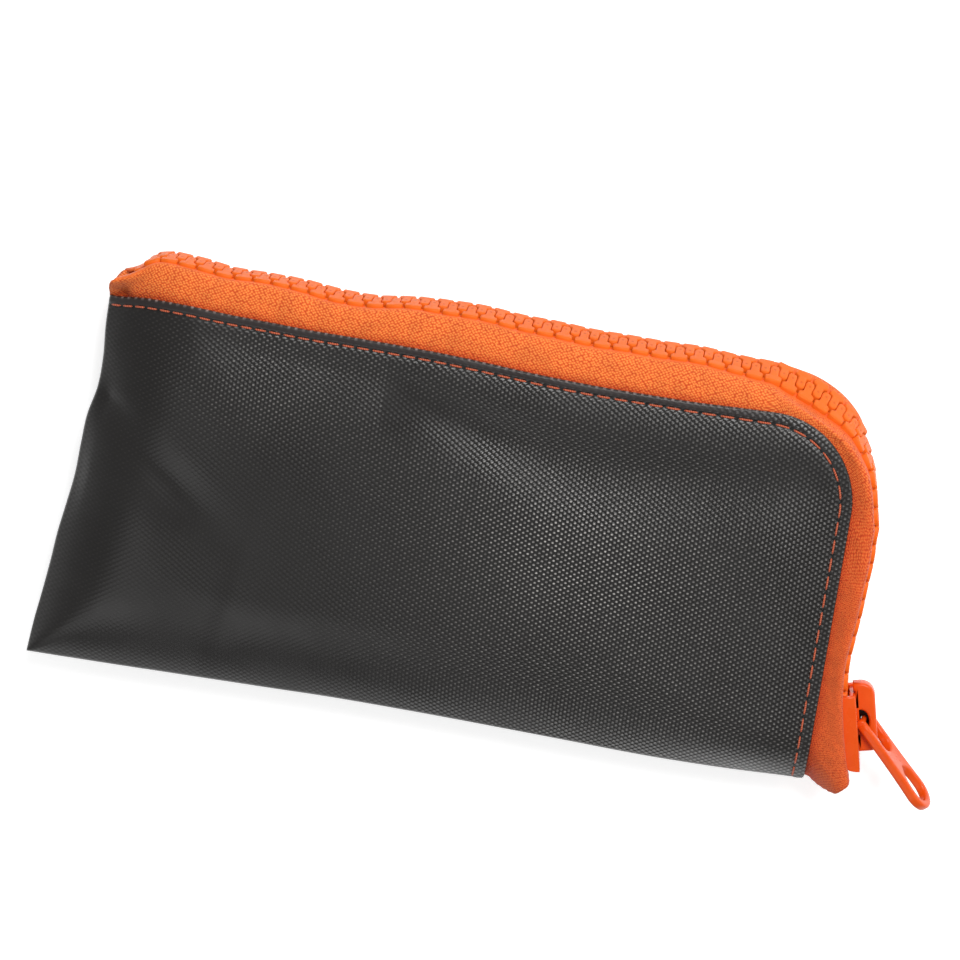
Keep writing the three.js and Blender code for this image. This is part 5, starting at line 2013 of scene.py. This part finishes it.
@dataclass
class Fittings:
    """What is sewn inside: the seam binding, the elastic loops and the pocket with its bound
    mouth."""

    pouch: Pouch
    finishes: Finishes
    gap: float = 0.3
    binding_inset: float = 7.2
    binding_width: float = 4.0
    binding_thick: float = 1.4
    binding_bend: float = 6.0
    band_x: tuple[float, float] = (12.0, 63.0)
    band_y: tuple[float, float] = (-21.0, 1.0)
    band_thick: float = 0.9
    arches: tuple[tuple[float, float, float], ...] = ((17.0, 14.0, 8.0), (36.0, 22.0, 10.0))
    pocket_x: tuple[float, float] = (-58.0, 0.0)
    pocket_y: tuple[float, float] = (-22.0, 14.0)
    pocket_corner: float = 4.0
    pocket_thick: float = 0.3
    mouth_thick: float = 1.3

    @property
    def floor(self) -> float:
        """Height of what lies on the back lining, with a small gap under it."""
        return self.pouch.lining_depth + self.pouch.lining_thickness + self.gap

    def binding(self) -> bpy.types.Object:
        """Makes the folded tape over the inner seam: a flat oval carried round the corner.

        Returns:
            The binding.
        """
        pouch, inset = self.pouch, self.binding_inset
        lean = (pouch.left_top - pouch.left_bottom) / (pouch.top - pouch.bottom)
        corner = np.array([pouch.left_bottom + inset + lean * inset, pouch.bottom + inset])
        up = unit(np.array([lean, 1.0]))
        first = corner + up * (pouch.top - pouch.fold - corner[1])
        last = np.array([pouch.right - pouch.fold, corner[1]])
        a, b = corner + up * self.binding_bend, corner + np.array([self.binding_bend, 0.0])
        line = np.concatenate([first + (a - first) * np.linspace(0, 1, 40)[:-1, None],
                               parabola(a, corner, b),
                               b + (last - b) * np.linspace(0, 1, 110)[1:, None]])
        way = unit(np.gradient(line, axis=0))
        across = np.stack([-way[:, 1], way[:, 0]], axis=1)
        angle = np.linspace(0, 2 * np.pi, 17)[:-1]
        wide, high = (np.sign(wave) * np.abs(wave) ** 0.6 * size / 2 for wave, size in (
            (np.cos(angle), self.binding_width), (np.sin(angle), self.binding_thick)))
        plan = line[:, None] + across[:, None] * wide[None, :, None]
        height = np.broadcast_to(pouch.mid + high, plan.shape[:2])[..., None]
        place = np.concatenate([[0], np.cumsum(np.linalg.norm(np.diff(line, axis=0), axis=1))])
        uv = np.stack(np.broadcast_arrays(place[:, None], wide[None, :]), axis=-1) / UV_UNIT
        return outward(make_object(
            "inner_seam_binding", np.concatenate([plan, height], axis=2),
            tube_faces(len(line), len(angle)), self.finishes.binding, uv))

    def band(self) -> bpy.types.Object:
        """Makes the elastic band: flat feet and two arches, each the root of a half sine.

        Returns:
            The band.
        """
        x, y = np.linspace(*self.band_x, 260), np.linspace(*self.band_y, 24)
        z = self.floor + self.band_thick / 2 + sum(
            height * np.sqrt(np.sin(np.clip((x - left) / width, 0, 1) * np.pi).clip(0))
            for left, width, height in self.arches)
        edge = 0.06 * np.cos(np.linspace(-np.pi, np.pi, len(y)))
        grid = np.stack(np.broadcast_arrays(x[:, None], y[None, :], z[:, None] + edge), axis=-1)
        normal = grid_normals(grid) * self.band_thick / 2
        gap = np.concatenate([[0], np.cumsum(np.hypot(np.diff(x), np.diff(z)))])
        uv = np.stack(np.broadcast_arrays(y[None, :], gap[:, None]), axis=-1) / UV_UNIT
        return closed_sheet("elastic_loop_band", grid + normal, grid - normal,
                            self.finishes.elastic, uv)

    def pocket(self) -> bpy.types.Object:
        """Makes the net pocket: a sheet with round corners, a hair fuller in its middle.

        Returns:
            The pocket.
        """
        (x0, x1), (y0, y1), r = self.pocket_x, self.pocket_y, self.pocket_corner
        u, v = np.meshgrid(np.linspace(0, 1, 60), np.linspace(0, 1, 40), indexing="ij")
        y = y0 + (y1 - y0) * v
        near = np.minimum(y - y0, y1 - y)
        cut = r - np.sqrt(np.maximum(r ** 2 - np.maximum(r - near, 0) ** 2, 0))
        x = x0 + cut + (x1 - x0 - 2 * cut) * u
        full = self.pocket_thick + 0.2 * np.sin(np.pi * u) * np.sin(np.pi * v)
        return plan_sheet("net_pocket", x, y, self.floor + full, np.full_like(x, self.floor),
                          self.finishes.net)

    def mouth(self) -> bpy.types.Object:
        """Makes the bound mouth of the pocket, a rounded bar of folded tape.

        Returns:
            The bound mouth.
        """
        loop = rounded_box((0.3, self.pocket_y[0]), (4.3, self.pocket_y[1]), 0.8)
        points, faces = plate_template([loop], self.mouth_thick, 0.45)
        points = points + np.array([0, 0, self.floor + self.mouth_thick / 2])
        return outward(make_object("pocket_mouth_binding", points, faces, self.finishes.binding,
                                   points[:, [1, 0]] / UV_UNIT))

    def build(self) -> list[bpy.types.Object]:
        """Makes the inner fittings.

        Returns:
            The four pieces.
        """
        binding, band, pocket, mouth = self.binding(), self.band(), self.pocket(), self.mouth()
        declare(binding, "inner_binding", Body.CASE, "seam_binding")
        declare(band, "elastic_webbing", Body.CASE, "elastic_loops")
        declare(pocket, "pocket_mesh", Body.CASE, "strip_pocket")
        declare(mouth, "inner_binding", Body.CASE, "pocket_binding")
        return [binding, band, pocket, mouth]


@dataclass
class Studio:
    """A pale floor, soft lights and the camera above the case."""

    camera_mm: tuple[float, float, float] = (57.5, 165.3, 716.6)
    aim_mm: tuple[float, float, float] = (2.680, 9.717, 12.0)
    up: tuple[float, float, float] = (-0.16594, 0.96557, -0.20033)
    lens_mm: float = 123.2
    floor_z: float = -0.3
    floor_radius: float = 3000.0

    def camera(self) -> None:
        """Sets the camera from its place, its aim and the picture's upward way."""
        data = bpy.data.cameras.new("camera")
        data.lens = self.lens_mm
        data.sensor_width = 36.0
        data.sensor_fit = "HORIZONTAL"
        data.clip_start = 0.01
        data.clip_end = 20.0
        camera = bpy.data.objects.new("camera", data)
        bpy.context.scene.collection.objects.link(camera)
        place, aim = np.array(self.camera_mm) * MM, np.array(self.aim_mm) * MM
        back = unit(place - aim)
        right = unit(np.cross(np.array(self.up), back))
        up = np.cross(back, right)
        camera.matrix_world = Matrix(
            [[right[i], up[i], back[i], place[i]] for i in range(3)] + [[0, 0, 0, 1]])
        bpy.context.scene.camera = camera

    def lamp(self, name: str, place: tuple[float, float, float], size: float, watts: float,
             aim: tuple[float, float, float] = (0.0, 0.0, 0.01)) -> None:
        """Adds one soft square lamp that looks at a point, all in metres.

        Args:
            name: its name.
            place: where it stands.
            size: the length of its side.
            watts: its power.
            aim: the point.
        """
        data = bpy.data.lights.new(name, "AREA")
        data.size = size
        data.energy = watts
        light = bpy.data.objects.new(name, data)
        bpy.context.scene.collection.objects.link(light)
        light.location = place
        way = Vector(aim) - Vector(place)
        light.rotation_euler = way.to_track_quat("-Z", "Y").to_euler()

    def floor(self) -> bpy.types.Object:
        """Makes the floor, a wide disc of fine rings, white to the camera but for soft shadow.

        Returns:
            The floor.
        """
        recipe = Recipe("matt_paper_floor")
        material = recipe.finish("#f4f4f4", 0.95)
        path = recipe.add("LightPath", {}, {})
        glow = recipe.add("Emission", {}, {"Color": (1, 1, 1, 1), "Strength": 0.55})
        dark = recipe.add("Emission", {}, {"Strength": 0.0})
        seen = recipe.math("MAXIMUM", path.outputs["Is Camera Ray"], path.outputs["Is Glossy Ray"])
        pick = recipe.add("MixShader", {}, {0: seen, 1: dark.outputs[0], 2: glow.outputs[0]})
        both = recipe.add("AddShader", {}, {0: recipe.shader.outputs[0], 1: pick.outputs[0]})
        feed(recipe.tree, recipe.tree.nodes["Material Output"], {"Surface": both.outputs[0]})
        rings, sides = 11, 96
        angle = np.linspace(0, 2 * np.pi, sides + 1)[:-1]
        radius = np.linspace(0, self.floor_radius, rings + 1)[1:]
        disc = np.stack([np.outer(radius, np.cos(angle)), np.outer(radius, np.sin(angle)),
                         np.full((rings, sides), self.floor_z)], axis=-1).reshape(-1, 3)
        points = np.concatenate([disc, [[0, 0, self.floor_z]]])
        quads = [face[::-1] for face in tube_faces(rings, sides)[:-2]]
        hub = [[len(disc), k, (k + 1) % sides] for k in range(sides)]
        return make_object("floor", points, quads + hub, material)

    def world(self) -> None:
        """Makes the world: white to the camera, and a third of that as light."""
        world = bpy.data.worlds.new("white_room")
        world.use_nodes = True
        tree = world.node_tree
        path = add_node(tree, "ShaderNodeLightPath", {}, {})
        seen = add_node(tree, "ShaderNodeMapRange", {}, {
            0: path.outputs["Is Camera Ray"], 3: 0.35, 4: 1.0})
        feed(tree, tree.nodes["Background"], {"Strength": seen.outputs[0], "Color": (1, 1, 1, 1)})
        bpy.context.scene.world = world

    def build(self) -> None:
        """Sets the camera, the lamps, the world and the floor."""
        self.camera()
        self.lamp("top_softbox", (0.28, 0.6, 0.82), 0.42, 8.0)
        self.lamp("front_fill", (-0.35, -0.6, 0.8), 0.7, 1.5)
        self.lamp("side_fill", (0.9, 0.1, 0.5), 0.4, 1.5)
        self.world()
        bpy.context.scene.view_settings.view_transform = "Standard"
        self.floor()


def main() -> None:
    """Builds the case piece by piece and reports each."""
    logging.basicConfig(level=logging.INFO, format="%(name)s: %(message)s")
    Studio().build()
    pouch, track, finishes, flap = Pouch(), Track(), Finishes(), FlapLine()
    groups = [Shell(pouch, finishes, flap), Linings(pouch, finishes, flap),
              ZipTapes(pouch, track, finishes, flap), Teeth(pouch, track, finishes, flap),
              Slider(pouch, track, finishes), Fittings(pouch, finishes)]
    for group in groups:
        for piece in group.build():
            faces = len(piece.data.polygons)
            log.info("%s: %s with %d faces", type(group).__name__, piece.name, faces)


if __name__ == "__main__":
    main()
